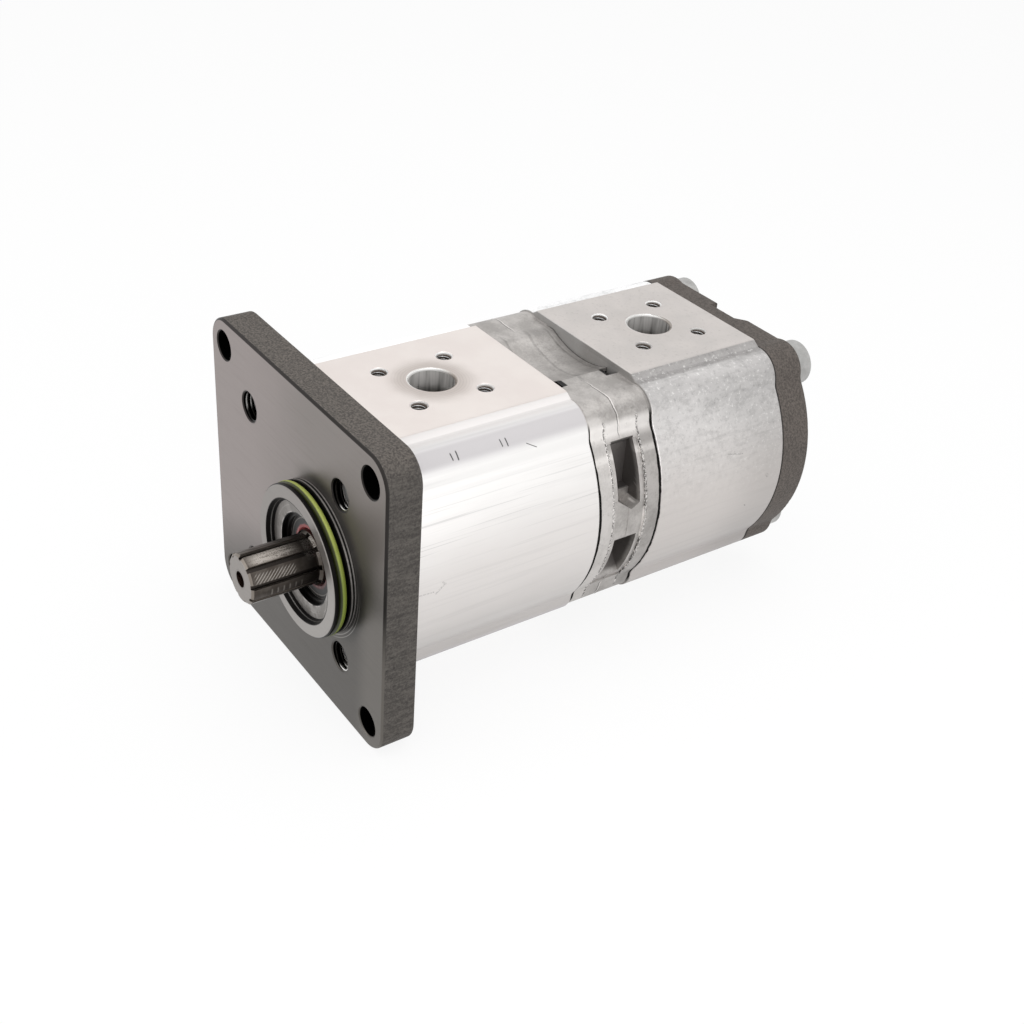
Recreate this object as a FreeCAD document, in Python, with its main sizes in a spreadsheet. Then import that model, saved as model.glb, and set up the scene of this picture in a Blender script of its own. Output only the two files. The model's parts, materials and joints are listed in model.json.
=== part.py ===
import FreeCAD, Part
import math
import os
import Sketcher

# Tandem gear pump: two pumping stages on one splined shaft, held by four long bolts.
# Frame: X across, Y from the drive end to the rear cover, Z up towards the pressure ports.
# The origin is on the shaft axis, in the mounting face of the flange. Sizes in mm.

SIZES = {
    # stack of the housing, front to back
    "flange_thickness": 12.0,
    "center_section_length": 26.0,
    "cover_thickness": 12.8,
    # gears and their bearing blocks
    "gear_center_distance": 30.8,
    "gear_teeth": 11,
    "pressure_angle": 26.0,
    "tooth_dedendum": 3.36,
    "tooth_thinning": 0.16,
    "tooth_foot_taper": 0.9,
    "front_gear_width": 32.4,
    "rear_gear_width": 15.6,
    "front_block_seat": 21.7,
    "rear_block_seat": 18.3,
    "gear_side_clearance": 0.05,
    "gear_tip_clearance": 0.05,
    "block_clearance": 0.04,
    "journal_radius": 9.0,
    "journal_clearance": 0.05,
    "journal_end_gap": 0.6,
    "bush_wall": 1.0,
    # housing section
    "body_radius": 50.0,
    "body_half_height": 42.1,
    "pad_step": 2.0,
    "pad_half_width": 26.5,
    "pad_slope": 3.0,
    "bolt_boss_radius": 10.0,
    "boss_blend_radius": 5.0,
    "bolt_spacing_across": 59.8,
    "bolt_spacing_up": 60.6,
    # centre section casting
    "center_inset": 0.5,
    "center_drop": 2.6,
    "center_boss_radius": 9.4,
    "center_dip_half_width": 16.0,
    "center_dip_depth": 3.6,
    "rim_width": 6.4,
    "band_recess": 0.6,
    "band_half_angle": 34.0,
    "window_width": 9.2,
    "window_upper_low": 9.4,
    "window_upper_high": 29.8,
    "window_lower_high": -5.6,
    "window_lower_low": -25.0,
    "window_floor": 38.0,
    "window_shallow_floor": 42.0,
    "window_end_slope": 4.8,
    "window_notch_across": 5.8,
    "window_notch_depth": 4.4,
    "window_notch_end": 2.6,
    "pry_slot_width": 5.5,
    "pry_slot_depth": 3.4,
    "pry_slot_length": 3.6,
    "pry_slot_offset": 14.5,
    "coupling_bore_radius": 13.0,
    # rear cover
    "cover_drop": 2.5,
    "cover_channel_depth": 3.7,
    "cover_channel_half_width": 6.5,
    "cover_channel_slope": 5.0,
    "cover_edge_rounding": 1.0,
    # ports
    "port_bore_depth": 22.1,
    "pressure_port_radius": 7.5,
    "pressure_passage_radius": 6.0,
    "pressure_port_circle": 35.0,
    "suction_port_radius": 10.0,
    "suction_passage_radius": 8.5,
    "suction_port_circle": 40.0,
    "port_thread_radius": 2.5,
    "port_thread_depth": 13.0,
    "port_chamfer": 0.6,
    # mounting flange
    "flange_width": 113.0,
    "flange_height": 107.0,
    "flange_corner_radius": 9.5,
    "flange_edge_rounding": 0.8,
    "mounting_edge_across": 9.1,
    "mounting_edge_up": 9.2,
    "mounting_hole_radius": 5.0,
    "pilot_radius": 25.0,
    "pilot_height": 7.4,
    "pilot_chamfer": 0.6,
    "pilot_groove_front": 6.0,
    "pilot_groove_width": 3.6,
    "pilot_groove_depth": 2.4,
    "o_ring_cord_radius": 1.31,
    "recess_radius": 20.4,
    "recess_floor_radius": 19.6,
    "recess_depth": 2.4,
    "recess_floor_rise": 0.5,
    "seal_bore_radius": 15.0,
    "seal_length": 7.0,
    "seal_wall": 1.2,
    "seal_lip_clearance": 0.06,
    "spring_seat_height": 2.5,
    "spring_cord_radius": 0.6,
    "ring_groove_depth": 0.8,
    "ring_groove_width": 1.3,
    "ring_thickness": 1.2,
    "ring_radial_width": 2.1,
    "ring_lug_radius": 1.9,
    "ring_lug_hole_radius": 0.75,
    "ring_lug_inset": 0.8,
    "ring_gap_angle": 24.0,
    "ring_lug_angle": 30.0,
    "ring_turn": 130.0,
    "shaft_passage_clearance": 0.6,
    # shaft
    "shaft_projection": 26.1,
    "spline_tip_radius": 8.25,
    "spline_root_radius": 7.0,
    "spline_count": 9,
    "spline_groove_half_width": 0.6,
    "spline_flank_spread": 0.35,
    "spline_end": 4.0,
    "spline_runout": 1.6,
    "shaft_relief_radius": 7.7,
    "shaft_relief_width": 0.5,
    "shaft_end_chamfer": 0.9,
    "shaft_center_radius": 2.6,
    "shaft_center_depth": 7.0,
    # coupling between the stages
    "tail_tip_radius": 7.0,
    "tail_root_radius": 5.8,
    "tail_spline_count": 8,
    "tail_length": 12.0,
    "tail_gap": 1.0,
    "sleeve_radius": 11.5,
    "sleeve_fit": 0.06,
    "sleeve_end_gap": 1.0,
    # bolts, dowels and seals
    "bolt_radius": 5.0,
    "bolt_hole_clearance": 0.25,
    "bolt_tip_setback": 3.5,
    "bolt_head_radius": 8.0,
    "bolt_head_height": 7.0,
    "bolt_head_rounding": 0.8,
    "bolt_socket_flats": 8.0,
    "bolt_socket_depth": 4.0,
    "thread_chamfer": 0.4,
    "dowel_radius": 3.0,
    "dowel_depth": 5.5,
    "dowel_offset": 42.0,
    "dowel_height": 2.0,
    "seal_groove_inner": 20.4,
    "seal_groove_width": 2.2,
    "seal_groove_depth": 1.5,
    "block_seal_inner": 13.6,
    "block_seal_outer": 16.0,
    "block_seal_cut": 8.0,
    "block_seal_depth": 1.6,
    "relief_length": 6.0,
    "relief_height": 2.6,
    "relief_depth": 1.5,
    "relief_offset": 4.0,
}


class Size:
    # A value with the formula that ties it to the sheet.
    def __init__(self, value, text):
        self.value = value
        self.text = text

    def joined(self, other, sign, value):
        return Size(value, "(" + self.text + " " + sign + " " + as_size(other).text + ")")

    def __add__(self, other):
        return self.joined(other, "+", self.value + as_size(other).value)

    def __sub__(self, other):
        return self.joined(other, "-", self.value - as_size(other).value)

    def __mul__(self, other):
        return self.joined(other, "*", self.value * as_size(other).value)

    def __truediv__(self, other):
        return self.joined(other, "/", self.value / as_size(other).value)

    def __neg__(self):
        return Size(-self.value, "(0 - " + self.text + ")")


def as_size(value):
    if isinstance(value, Size):
        return value
    return Size(float(value), repr(value))


def root(size):
    return Size(math.sqrt(size.value), "sqrt(" + size.text + ")")


def smaller(first, second):
    return Size(min(first.value, second.value), "min(" + first.text + "; " + second.text + ")")


def sine(angle):
    return Size(math.sin(math.radians(angle.value)), "sin(" + angle.text + " * 1deg)")


def cosine(angle):
    return Size(math.cos(math.radians(angle.value)), "cos(" + angle.text + " * 1deg)")


doc = FreeCAD.newDocument("TandemGearPump")
sheet = doc.addObject("Spreadsheet::Sheet", "Sizes")
for row, (name, value) in enumerate(SIZES.items(), start=1):
    sheet.set("A" + str(row), name)
    sheet.set("B" + str(row), str(value))
    sheet.setAlias("B" + str(row), name)
doc.recompute()

sizes = {name: Size(float(sheet.get(name)), "Sizes." + name) for name in SIZES}
ZERO = Size(0.0, "0")
nodes = []

# Edges are picked by place to within this distance.
NEAR = 0.01


def size(name):
    return sizes[name]


# Places that several pieces share.
half_center = size("gear_center_distance") / 2
gear_tip_radius = half_center + size("gear_center_distance") / size("gear_teeth")
chamber_radius = gear_tip_radius + size("gear_tip_clearance")
bush_radius = size("journal_radius") + size("journal_clearance") + size("bush_wall")
bolt_across = size("bolt_spacing_across") / 2
bolt_up = size("bolt_spacing_up") / 2
blocks_total = size("front_block_seat") + size("rear_block_seat")
front_body_length = blocks_total + size("front_gear_width")
rear_body_length = blocks_total + size("rear_gear_width")
front_body_start = size("flange_thickness")
center_start = front_body_start + front_body_length
rear_body_start = center_start + size("center_section_length")
cover_start = rear_body_start + rear_body_length
cover_end = cover_start + size("cover_thickness")
center_radius = size("body_radius") - size("center_inset")
center_half_height = size("body_half_height") - size("center_drop")
seal_front = size("recess_depth") - size("pilot_height") + size("recess_floor_rise")
ring_groove_front = seal_front + size("ring_groove_width")
ring_groove_back = ring_groove_front + size("ring_groove_width")
shaft_seal_back = ring_groove_back + size("seal_length")
seal_lip = size("journal_radius") + size("seal_lip_clearance")
spring_seat = seal_lip + size("spring_seat_height")


# Sketches and features.

def bind(item, path, value):
    item.setExpression(path, as_size(value).text)


def make_body(label, across=ZERO, along=ZERO):
    body = doc.addObject("PartDesign::Body", label)
    body.Label = label
    bind(body, "Placement.Base.x", across)
    bind(body, "Placement.Base.y", along)
    nodes.append(body)
    return body


def origin_part(body, role):
    return next(part for part in body.Origin.OriginFeatures if part.Role == role)


def make_sketch(body, plane, offset=ZERO, side=ZERO):
    # A section sketch (XZ) lies at y = offset and reads across, up as seen from the drive end.
    sketch = body.newObject("Sketcher::SketchObject", body.Label + "_sketch")
    sketch.AttachmentSupport = [(origin_part(body, plane), "")]
    sketch.MapMode = "FlatFace"
    bind(sketch, "AttachmentOffset.Base.z", -offset if plane == "XZ_Plane" else offset)
    bind(sketch, "AttachmentOffset.Base.x", side)
    return sketch


def lock_point(sketch, rules, geometry, point, place):
    for axis, kind, value in ((-2, "DistanceX", place[0]), (-1, "DistanceY", place[1])):
        if value is ZERO:
            rules.append((Sketcher.Constraint("PointOnObject", geometry, point, axis), None))
            continue
        rule = Sketcher.Constraint(kind, -1, 1, geometry, point, value.value)
        rules.append((rule, value))


def apply_rules(sketch, rules):
    first = sketch.ConstraintCount
    sketch.addConstraint([rule for rule, value in rules])
    for step, (rule, value) in enumerate(rules):
        if value is not None:
            bind(sketch, "Constraints[" + str(first + step) + "]", value)


def add_circle(sketch, across, up, radius):
    center = FreeCAD.Vector(across.value, up.value, 0)
    circle = Part.Circle(center, FreeCAD.Vector(0, 0, 1), radius.value)
    geometry = sketch.addGeometry(circle, False)
    rules = [(Sketcher.Constraint("Radius", geometry, radius.value), radius)]
    lock_point(sketch, rules, geometry, 3, (across, up))
    apply_rules(sketch, rules)


def arc_between(start, end, radius, turn, large):
    # turn is +1 for an arc that runs anticlockwise and -1 for a clockwise one.
    chord = end - start
    half = chord.Length / 2
    rise = math.sqrt(max(radius * radius - half * half, 0.0))
    normal = FreeCAD.Vector(-chord.y, chord.x, 0).normalize()
    side = turn * (-1 if large else 1)
    center = (start + end) * 0.5 + normal * rise * side
    first, last = (start, end) if turn > 0 else (end, start)
    begin = math.atan2(first.y - center.y, first.x - center.x)
    finish = math.atan2(last.y - center.y, last.x - center.x)
    circle = Part.Circle(center, FreeCAD.Vector(0, 0, 1), radius)
    return Part.ArcOfCircle(circle, begin, finish)


def add_outline(sketch, corners):
    # Each corner is (across, up); (across, up, radius, turn) starts an arc, and a fifth
    # entry marks the arc as the longer way round.
    points = [FreeCAD.Vector(corner[0].value, corner[1].value, 0) for corner in corners]
    rules = []
    ends = []
    for step, corner in enumerate(corners):
        start = points[step]
        end = points[(step + 1) % len(points)]
        if len(corner) == 2:
            geometry = sketch.addGeometry(Part.LineSegment(start, end), False)
            ends.append((geometry, 1, 2))
        else:
            radius, turn = corner[2], corner[3]
            arc = arc_between(start, end, radius.value, turn, len(corner) == 5)
            geometry = sketch.addGeometry(arc, False)
            ends.append((geometry, 1, 2) if turn > 0 else (geometry, 2, 1))
            rules.append((Sketcher.Constraint("Radius", geometry, radius.value), radius))
    for step, (geometry, head, tail) in enumerate(ends):
        following, next_head, next_tail = ends[(step + 1) % len(ends)]
        joint = Sketcher.Constraint("Coincident", geometry, tail, following, next_head)
        rules.append((joint, None))
        lock_point(sketch, rules, geometry, head, corners[step])
    apply_rules(sketch, rules)


def pad(body, sketch, length):
    # Pads of section sketches grow towards the rear.
    feature = body.newObject("PartDesign::Pad", body.Label + "_pad")
    feature.Profile = sketch
    feature.Reversed = True
    bind(feature, "Length", length)
    return feature


def pocket(body, sketch, length, reverse=False):
    # Pockets of section sketches cut towards the rear.
    feature = body.newObject("PartDesign::Pocket", body.Label + "_pocket")
    feature.Profile = sketch
    feature.Reversed = reverse
    bind(feature, "Length", length)
    return feature


def turned(body, corners, side=ZERO, cut=False):
    # A lathe section: corners are (radius, along), turned about the Y axis.
    sketch = make_sketch(body, "XY_Plane", ZERO, side)
    add_outline(sketch, corners)
    kind = "PartDesign::Groove" if cut else "PartDesign::Revolution"
    feature = body.newObject(kind, body.Label + "_turned")
    feature.Profile = sketch
    feature.ReferenceAxis = (sketch, ["V_Axis"])
    feature.Angle = 360.0
    return feature


def ring_of(body, feature, count):
    pattern = body.newObject("PartDesign::PolarPattern", body.Label + "_pattern")
    pattern.Originals = [feature]
    pattern.Axis = (origin_part(body, "Y_Axis"), [""])
    pattern.Angle = 360.0
    bind(pattern, "Occurrences", count)
    body.Tip = pattern
    return pattern


def edge_names(shape, wanted):
    return ["Edge" + str(i + 1) for i, edge in enumerate(shape.Edges) if wanted(edge)]


def dress(body, kind, wanted, amount):
    # Chamfer or fillet on the edges of the finished shape that pass the test.
    doc.recompute()
    base = body.Tip
    names = edge_names(base.Shape, wanted)
    feature = body.newObject("PartDesign::" + kind, body.Label + "_edge")
    feature.Base = (base, names)
    bind(feature, "Size" if kind == "Chamfer" else "Radius", amount)
    return feature


def is_circle(edge, radius, along):
    curve = edge.Curve
    if curve.TypeId != "Part::GeomCircle":
        return False
    same = abs(curve.Radius - radius.value) < NEAR
    return same and abs(edge.BoundBox.YMin - along.value) < NEAR and edge.BoundBox.YLength < NEAR


def bolt_places():
    return [(across, up) for across in (bolt_across, -bolt_across) for up in (bolt_up, -bolt_up)]


def cut_circles(body, offset, places, radius, length, plane="XZ_Plane", reverse=False):
    sketch = make_sketch(body, plane, offset)
    for across, up in places:
        add_circle(sketch, across, up, radius)
    return pocket(body, sketch, length, reverse)


# Outlines that more than one piece uses.

def casing(body, radius, flat, boss, length):
    # Round casing with flat top and bottom, and a round boss along each bolt.
    sketch = make_sketch(body, "XZ_Plane")
    reach = root(radius * radius - flat * flat)
    add_outline(sketch, [
        (reach, -flat, radius, 1),
        (reach, flat),
        (-reach, flat, radius, 1),
        (-reach, -flat),
    ])
    pad(body, sketch, length)
    bosses = make_sketch(body, "XZ_Plane")
    for across, up in bolt_places():
        add_circle(bosses, across, up, boss)
    pad(body, bosses, length)

    def corner(edge):
        # A straight edge between the round side and a boss.
        box = edge.BoundBox
        x, z = abs(box.Center.x), abs(box.Center.z)
        on_side = abs(math.hypot(x, z) - radius.value) < NEAR
        to_bolt = math.hypot(x - bolt_across.value, z - bolt_up.value)
        on_boss = abs(to_bolt - boss.value) < NEAR
        return on_side and on_boss and box.XLength < NEAR and box.ZLength < NEAR

    def beside_flat(edge):
        # The corner on the flat's side of its bolt.
        center = edge.BoundBox.Center
        beyond = abs(center.z) * bolt_across.value > abs(center.x) * bolt_up.value
        return corner(edge) and beyond

    def below_bolt(edge):
        return corner(edge) and not beside_flat(edge)

    blend = size("boss_blend_radius")
    doc.recompute()
    if edge_names(body.Tip.Shape, below_bolt):
        dress(body, "Fillet", below_bolt, blend)
    doc.recompute()
    if edge_names(body.Tip.Shape, beside_flat):
        # This blend is limited by the strip of round side between the boss and the flat.
        far = root(bolt_across * bolt_across + bolt_up * bolt_up)
        ahead = (far * far + radius * radius - boss * boss) / (far * 2)
        aside = root(radius * radius - ahead * ahead)
        strip = flat - (ahead * bolt_up + aside * bolt_across) / far
        dress(body, "Fillet", beside_flat, smaller(blend, strip))


def figure_eight(sketch, radius):
    waist = root(radius * radius - half_center * half_center)
    add_outline(sketch, [
        (ZERO, waist, radius, 1, "large"),
        (ZERO, -waist, radius, 1, "large"),
    ])


def stadium(sketch, radius):
    end = half_center + radius
    add_outline(sketch, [
        (half_center, -radius, radius, 1),
        (end, ZERO, radius, 1),
        (half_center, radius),
        (-half_center, radius, radius, 1),
        (-end, ZERO, radius, 1),
        (-half_center, -radius),
    ])


def seal_ring(sketch):
    stadium(sketch, size("seal_groove_inner"))
    stadium(sketch, size("seal_groove_inner") + size("seal_groove_width"))


def block_seal_outline(sketch):
    # Shaped like a 3: an arc over each journal bore, joined between the bores.
    outer = size("block_seal_outer")
    inner = size("block_seal_inner")
    drop = -size("block_seal_cut")
    outer_x = root(outer * outer - drop * drop)
    inner_x = root(inner * inner - drop * drop)
    neck = root(outer * outer - half_center * half_center)
    add_outline(sketch, [
        (half_center + outer_x, drop, outer, 1, "large"),
        (ZERO, neck, outer, 1, "large"),
        (-half_center - outer_x, drop),
        (-half_center - inner_x, drop, inner, -1, "large"),
        (-half_center + inner_x, drop),
        (-half_center + outer_x, drop, outer, 1),
        (ZERO, -neck, outer, 1),
        (half_center - outer_x, drop),
        (half_center - inner_x, drop, inner, -1, "large"),
        (half_center + inner_x, drop),
    ])


def dowel_places():
    offset = size("dowel_offset")
    return [(offset, size("dowel_height")), (-offset, size("dowel_height"))]


def dowel_holes(body, front_face, rear_end):
    # Blind holes for the locating dowels, in the front face and in the rear face.
    depth = size("dowel_depth")
    if front_face:
        cut_circles(body, ZERO, dowel_places(), size("dowel_radius"), depth)
    if rear_end is not None:
        cut_circles(body, rear_end - depth, dowel_places(), size("dowel_radius"), depth)


# The mounting flange with its pilot, seal bore and holes.

def front_flange():
    thickness = size("flange_thickness")
    body = make_body("front_flange", -half_center)
    sketch = make_sketch(body, "XZ_Plane")
    right = size("flange_width") / 2
    top = size("flange_height") / 2
    corner = size("flange_corner_radius")
    add_outline(sketch, [
        (right, top - corner, corner, 1),
        (right - corner, top),
        (corner - right, top, corner, 1),
        (-right, top - corner),
        (-right, corner - top, corner, 1),
        (corner - right, -top),
        (right - corner, -top, corner, 1),
        (right, corner - top),
    ])
    pad(body, sketch, thickness)

    def outer_edge(edge):
        box = edge.BoundBox
        flat = box.YLength < NEAR
        reach_x = max(abs(box.XMax), abs(box.XMin))
        reach_z = max(abs(box.ZMax), abs(box.ZMin))
        return flat and (reach_x > right.value - NEAR or reach_z > top.value - NEAR)

    dress(body, "Fillet", outer_edge, size("flange_edge_rounding"))

    pilot = size("pilot_radius")
    floor = pilot - size("pilot_groove_depth")
    groove_front = -size("pilot_groove_front")
    groove_back = groove_front + size("pilot_groove_width")
    front = -size("pilot_height")
    turned(body, [
        (ZERO, thickness / 2),
        (pilot, thickness / 2),
        (pilot, groove_back),
        (floor, groove_back),
        (floor, groove_front),
        (pilot, groove_front),
        (pilot, front + size("pilot_chamfer")),
        (pilot - size("pilot_chamfer"), front),
        (ZERO, front),
    ], half_center)

    bore = size("seal_bore_radius")
    passage = size("journal_radius") + size("shaft_passage_clearance")
    ring_floor = bore + size("ring_groove_depth")
    turned(body, [
        (ZERO, front),
        (size("recess_radius"), front),
        (size("recess_floor_radius"), front + size("recess_depth")),
        (bore, seal_front),
        (bore, ring_groove_front),
        (ring_floor, ring_groove_front),
        (ring_floor, ring_groove_back),
        (bore, ring_groove_back),
        (bore, shaft_seal_back),
        (passage, shaft_seal_back),
        (passage, thickness),
        (ZERO, thickness),
    ], half_center, cut=True)

    across = right - size("mounting_edge_across")
    up = top - size("mounting_edge_up")
    mounting = [(x, z) for x in (across, -across) for z in (up, -up)]
    cut_circles(body, ZERO, mounting, size("mounting_hole_radius"), thickness)
    cut_circles(body, ZERO, bolt_places(), size("bolt_radius"), thickness)

    def hole_mouth(edge):
        front_edge = is_circle(edge, size("bolt_radius"), ZERO)
        return front_edge or is_circle(edge, size("mounting_hole_radius"), ZERO)

    dress(body, "Chamfer", hole_mouth, size("thread_chamfer"))
    dowel_holes(body, False, thickness)


# A pumping stage's housing: port pads, gear chamber, ports, bolt holes and seal grooves.

def stage_body(label, along, gear_width):
    length = blocks_total + gear_width
    half_height = size("body_half_height")
    flat = half_height - size("pad_step")
    body = make_body(label, -half_center, along)
    casing(body, size("body_radius"), flat, size("bolt_boss_radius"), length)

    pads = make_sketch(body, "XZ_Plane")
    edge = size("pad_half_width")
    foot = edge + size("pad_slope")
    add_outline(pads, [
        (foot, flat), (edge, half_height), (-edge, half_height), (-foot, flat),
        (-foot, -flat), (-edge, -half_height), (edge, -half_height), (foot, -flat),
    ])
    pad(body, pads, length)

    chamber = make_sketch(body, "XZ_Plane")
    figure_eight(chamber, chamber_radius)
    pocket(body, chamber, length)
    hole = size("bolt_radius") + size("bolt_hole_clearance")
    cut_circles(body, ZERO, bolt_places(), hole, length)

    groove = size("seal_groove_depth")
    for place in (ZERO, length - groove):
        ring = make_sketch(body, "XZ_Plane", place)
        seal_ring(ring)
        pocket(body, ring, groove)
    dowel_holes(body, True, length)

    port_along = size("front_block_seat") + gear_width / 2
    for face, kind, reverse in ((half_height, "pressure", False), (-half_height, "suction", True)):
        # A bore for the flange's spigot, then a narrower passage to the gears.
        place = [(ZERO, port_along)]
        bore = size(kind + "_port_radius")
        passage = size(kind + "_passage_radius")
        circle = size(kind + "_port_circle")
        cut_circles(body, face, place, bore, size("port_bore_depth"), "XY_Plane", reverse)
        cut_circles(body, face, place, passage, half_height, "XY_Plane", reverse)
        step = circle / 2 / root(as_size(2.0))
        threads = [(x, port_along + z) for x in (step, -step) for z in (step, -step)]
        depth = size("port_thread_depth")
        cut_circles(body, face, threads, size("port_thread_radius"), depth, "XY_Plane", reverse)

    def port_mouth(edge):
        if edge.Curve.TypeId != "Part::GeomCircle":
            return False
        box = edge.BoundBox
        return abs(abs(box.ZMin) - half_height.value) < NEAR and box.ZLength < NEAR

    dress(body, "Chamfer", port_mouth, size("port_chamfer"))


def body_seal(label, along):
    body = make_body(label, -half_center, along)
    sketch = make_sketch(body, "XZ_Plane")
    seal_ring(sketch)
    pad(body, sketch, size("seal_groove_depth"))


# The cast piece between the stages.

def center_section():
    length = size("center_section_length")
    flat = center_half_height
    body = make_body("center_section", -half_center, center_start)
    casing(body, center_radius, flat, size("center_boss_radius"), length)

    dips = make_sketch(body, "XZ_Plane")
    reach = size("center_dip_half_width")
    sink = size("center_dip_depth")
    bow = (reach * reach + sink * sink) / (sink * 2)
    crest = flat + sink
    add_outline(dips, [(reach, flat), (reach, crest), (-reach, crest), (-reach, flat, bow, 1)])
    add_outline(dips, [(-reach, -flat), (-reach, -crest), (reach, -crest), (reach, -flat, bow, 1)])
    pocket(body, dips, length)

    cut_windows(body, length)
    cut_side_bands(body, length)
    cut_pry_slots(body, length)
    bore = size("coupling_bore_radius")
    cut_circles(body, ZERO, [(half_center, ZERO)], bore, length)
    hole = size("bolt_radius") + size("bolt_hole_clearance")
    cut_circles(body, ZERO, bolt_places(), hole, length)
    dowel_holes(body, True, length)


def cut_windows(body, length):
    # Two cored windows on each side, with a rib between them.
    front = (length - size("window_width")) / 2
    outside = center_radius + size("rim_width")
    deep = size("window_floor")
    shallow = size("window_shallow_floor")
    for side in (1, -1):
        sketch = make_sketch(body, "XZ_Plane", front)
        for near, far, up in (("window_upper_low", "window_upper_high", 1),
                              ("window_lower_high", "window_lower_low", -1)):
            start = size(near)
            end = size(far)
            knee = end - size("window_end_slope") * up
            add_outline(sketch, [
                (outside * side, start), (deep * side, start), (deep * side, knee),
                (shallow * side, end), (outside * side, end),
            ])
        pocket(body, sketch, size("window_width"))

    # The upper window's foot drops to a corner in the rib and rises again to the rear.
    sill = size("window_upper_low")
    end = front + size("window_width")
    for side, reverse in ((1, True), (-1, False)):
        notch = make_sketch(body, "YZ_Plane", shallow * side)
        add_outline(notch, [
            (front, sill),
            (front + size("window_notch_across"), sill - size("window_notch_depth")),
            (end, sill - size("window_notch_end")),
            (end, sill + size("window_end_slope")),
            (front, sill + size("window_end_slope")),
        ])
        pocket(body, notch, outside - shallow, reverse)


def cut_side_bands(body, length):
    # The band between the rims lies a little lower than the rims.
    inner = center_radius - size("band_recess")
    outer = center_radius + size("rim_width")
    angle = size("band_half_angle")
    sketch = make_sketch(body, "XZ_Plane", size("rim_width"))
    near_x, near_z = inner * cosine(angle), inner * sine(angle)
    far_x, far_z = outer * cosine(angle), outer * sine(angle)
    for side in (1, -1):
        add_outline(sketch, [
            (near_x * side, -near_z, inner, side),
            (near_x * side, near_z),
            (far_x * side, far_z, outer, -side),
            (far_x * side, -far_z),
        ])
    pocket(body, sketch, length - size("rim_width") * 2)


def cut_pry_slots(body, length):
    # Notches at both joints for prying the stages apart.
    depth = size("pry_slot_length")
    left = size("pry_slot_offset")
    right = left + size("pry_slot_width")
    crest = center_half_height + size("pry_slot_depth")
    floor = center_half_height - size("pry_slot_depth")
    for place in (ZERO, length - depth):
        sketch = make_sketch(body, "XZ_Plane", place)
        add_outline(sketch, [(left, floor), (right, floor), (right, crest), (left, crest)])
        pocket(body, sketch, depth)


def rear_cover():
    thickness = size("cover_thickness")
    flat = size("body_half_height") - size("cover_drop")
    body = make_body("rear_cover", -half_center, cover_start)
    casing(body, size("body_radius"), flat, size("bolt_boss_radius"), thickness)

    def rear_rim(edge):
        box = edge.BoundBox
        return abs(box.YMin - thickness.value) < NEAR and box.YLength < NEAR

    dress(body, "Fillet", rear_rim, size("cover_edge_rounding"))

    channel = make_sketch(body, "XY_Plane", -size("body_half_height"))
    floor = size("cover_channel_half_width")
    mouth = floor + size("cover_channel_slope")
    depth = thickness - size("cover_channel_depth")
    top = thickness + size("cover_channel_depth")
    add_outline(channel, [
        (-floor, depth), (floor, depth), (mouth, thickness), (mouth, top), (-floor, top),
    ])
    pocket(body, channel, size("body_half_height") * 2, reverse=True)

    hole = size("bolt_radius") + size("bolt_hole_clearance")
    cut_circles(body, ZERO, bolt_places(), hole, thickness)
    dowel_holes(body, True, None)


# Bearing blocks, their bushes and their pressure seals.

def bearing_block(label, along, seat, seal_on_front):
    length = seat - size("gear_side_clearance")
    body = make_body(label, -half_center, along)
    sketch = make_sketch(body, "XZ_Plane")
    figure_eight(sketch, chamber_radius - size("block_clearance"))
    pad(body, sketch, length)
    bores = [(half_center, ZERO), (-half_center, ZERO)]
    cut_circles(body, ZERO, bores, bush_radius, length)
    depth = size("block_seal_depth")
    groove = make_sketch(body, "XZ_Plane", ZERO if seal_on_front else length - depth)
    block_seal_outline(groove)
    pocket(body, groove, depth)

    # Relief pockets beside the mesh, in the face towards the gears.
    relief = size("relief_depth")
    face = length - relief if seal_on_front else ZERO
    pockets = make_sketch(body, "XZ_Plane", face)
    side = size("relief_length") / 2
    low = size("relief_offset")
    high = low + size("relief_height")
    add_outline(pockets, [(-side, low), (side, low), (side, high), (-side, high)])
    add_outline(pockets, [(side, -low), (-side, -low), (-side, -high), (side, -high)])
    pocket(body, pockets, relief)


def bush(label, across, along, seat):
    body = make_body(label, across, along)
    bore = size("journal_radius") + size("journal_clearance")
    length = seat - size("gear_side_clearance")
    turned(body, [(bore, ZERO), (bush_radius, ZERO), (bush_radius, length), (bore, length)])


def block_seal(label, along):
    body = make_body(label, -half_center, along)
    sketch = make_sketch(body, "XZ_Plane")
    block_seal_outline(sketch)
    pad(body, sketch, size("block_seal_depth"))


# Gears on their shafts.

def involute_angle(radius, base):
    pressure = math.acos(base / radius)
    return math.tan(pressure) - pressure


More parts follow.
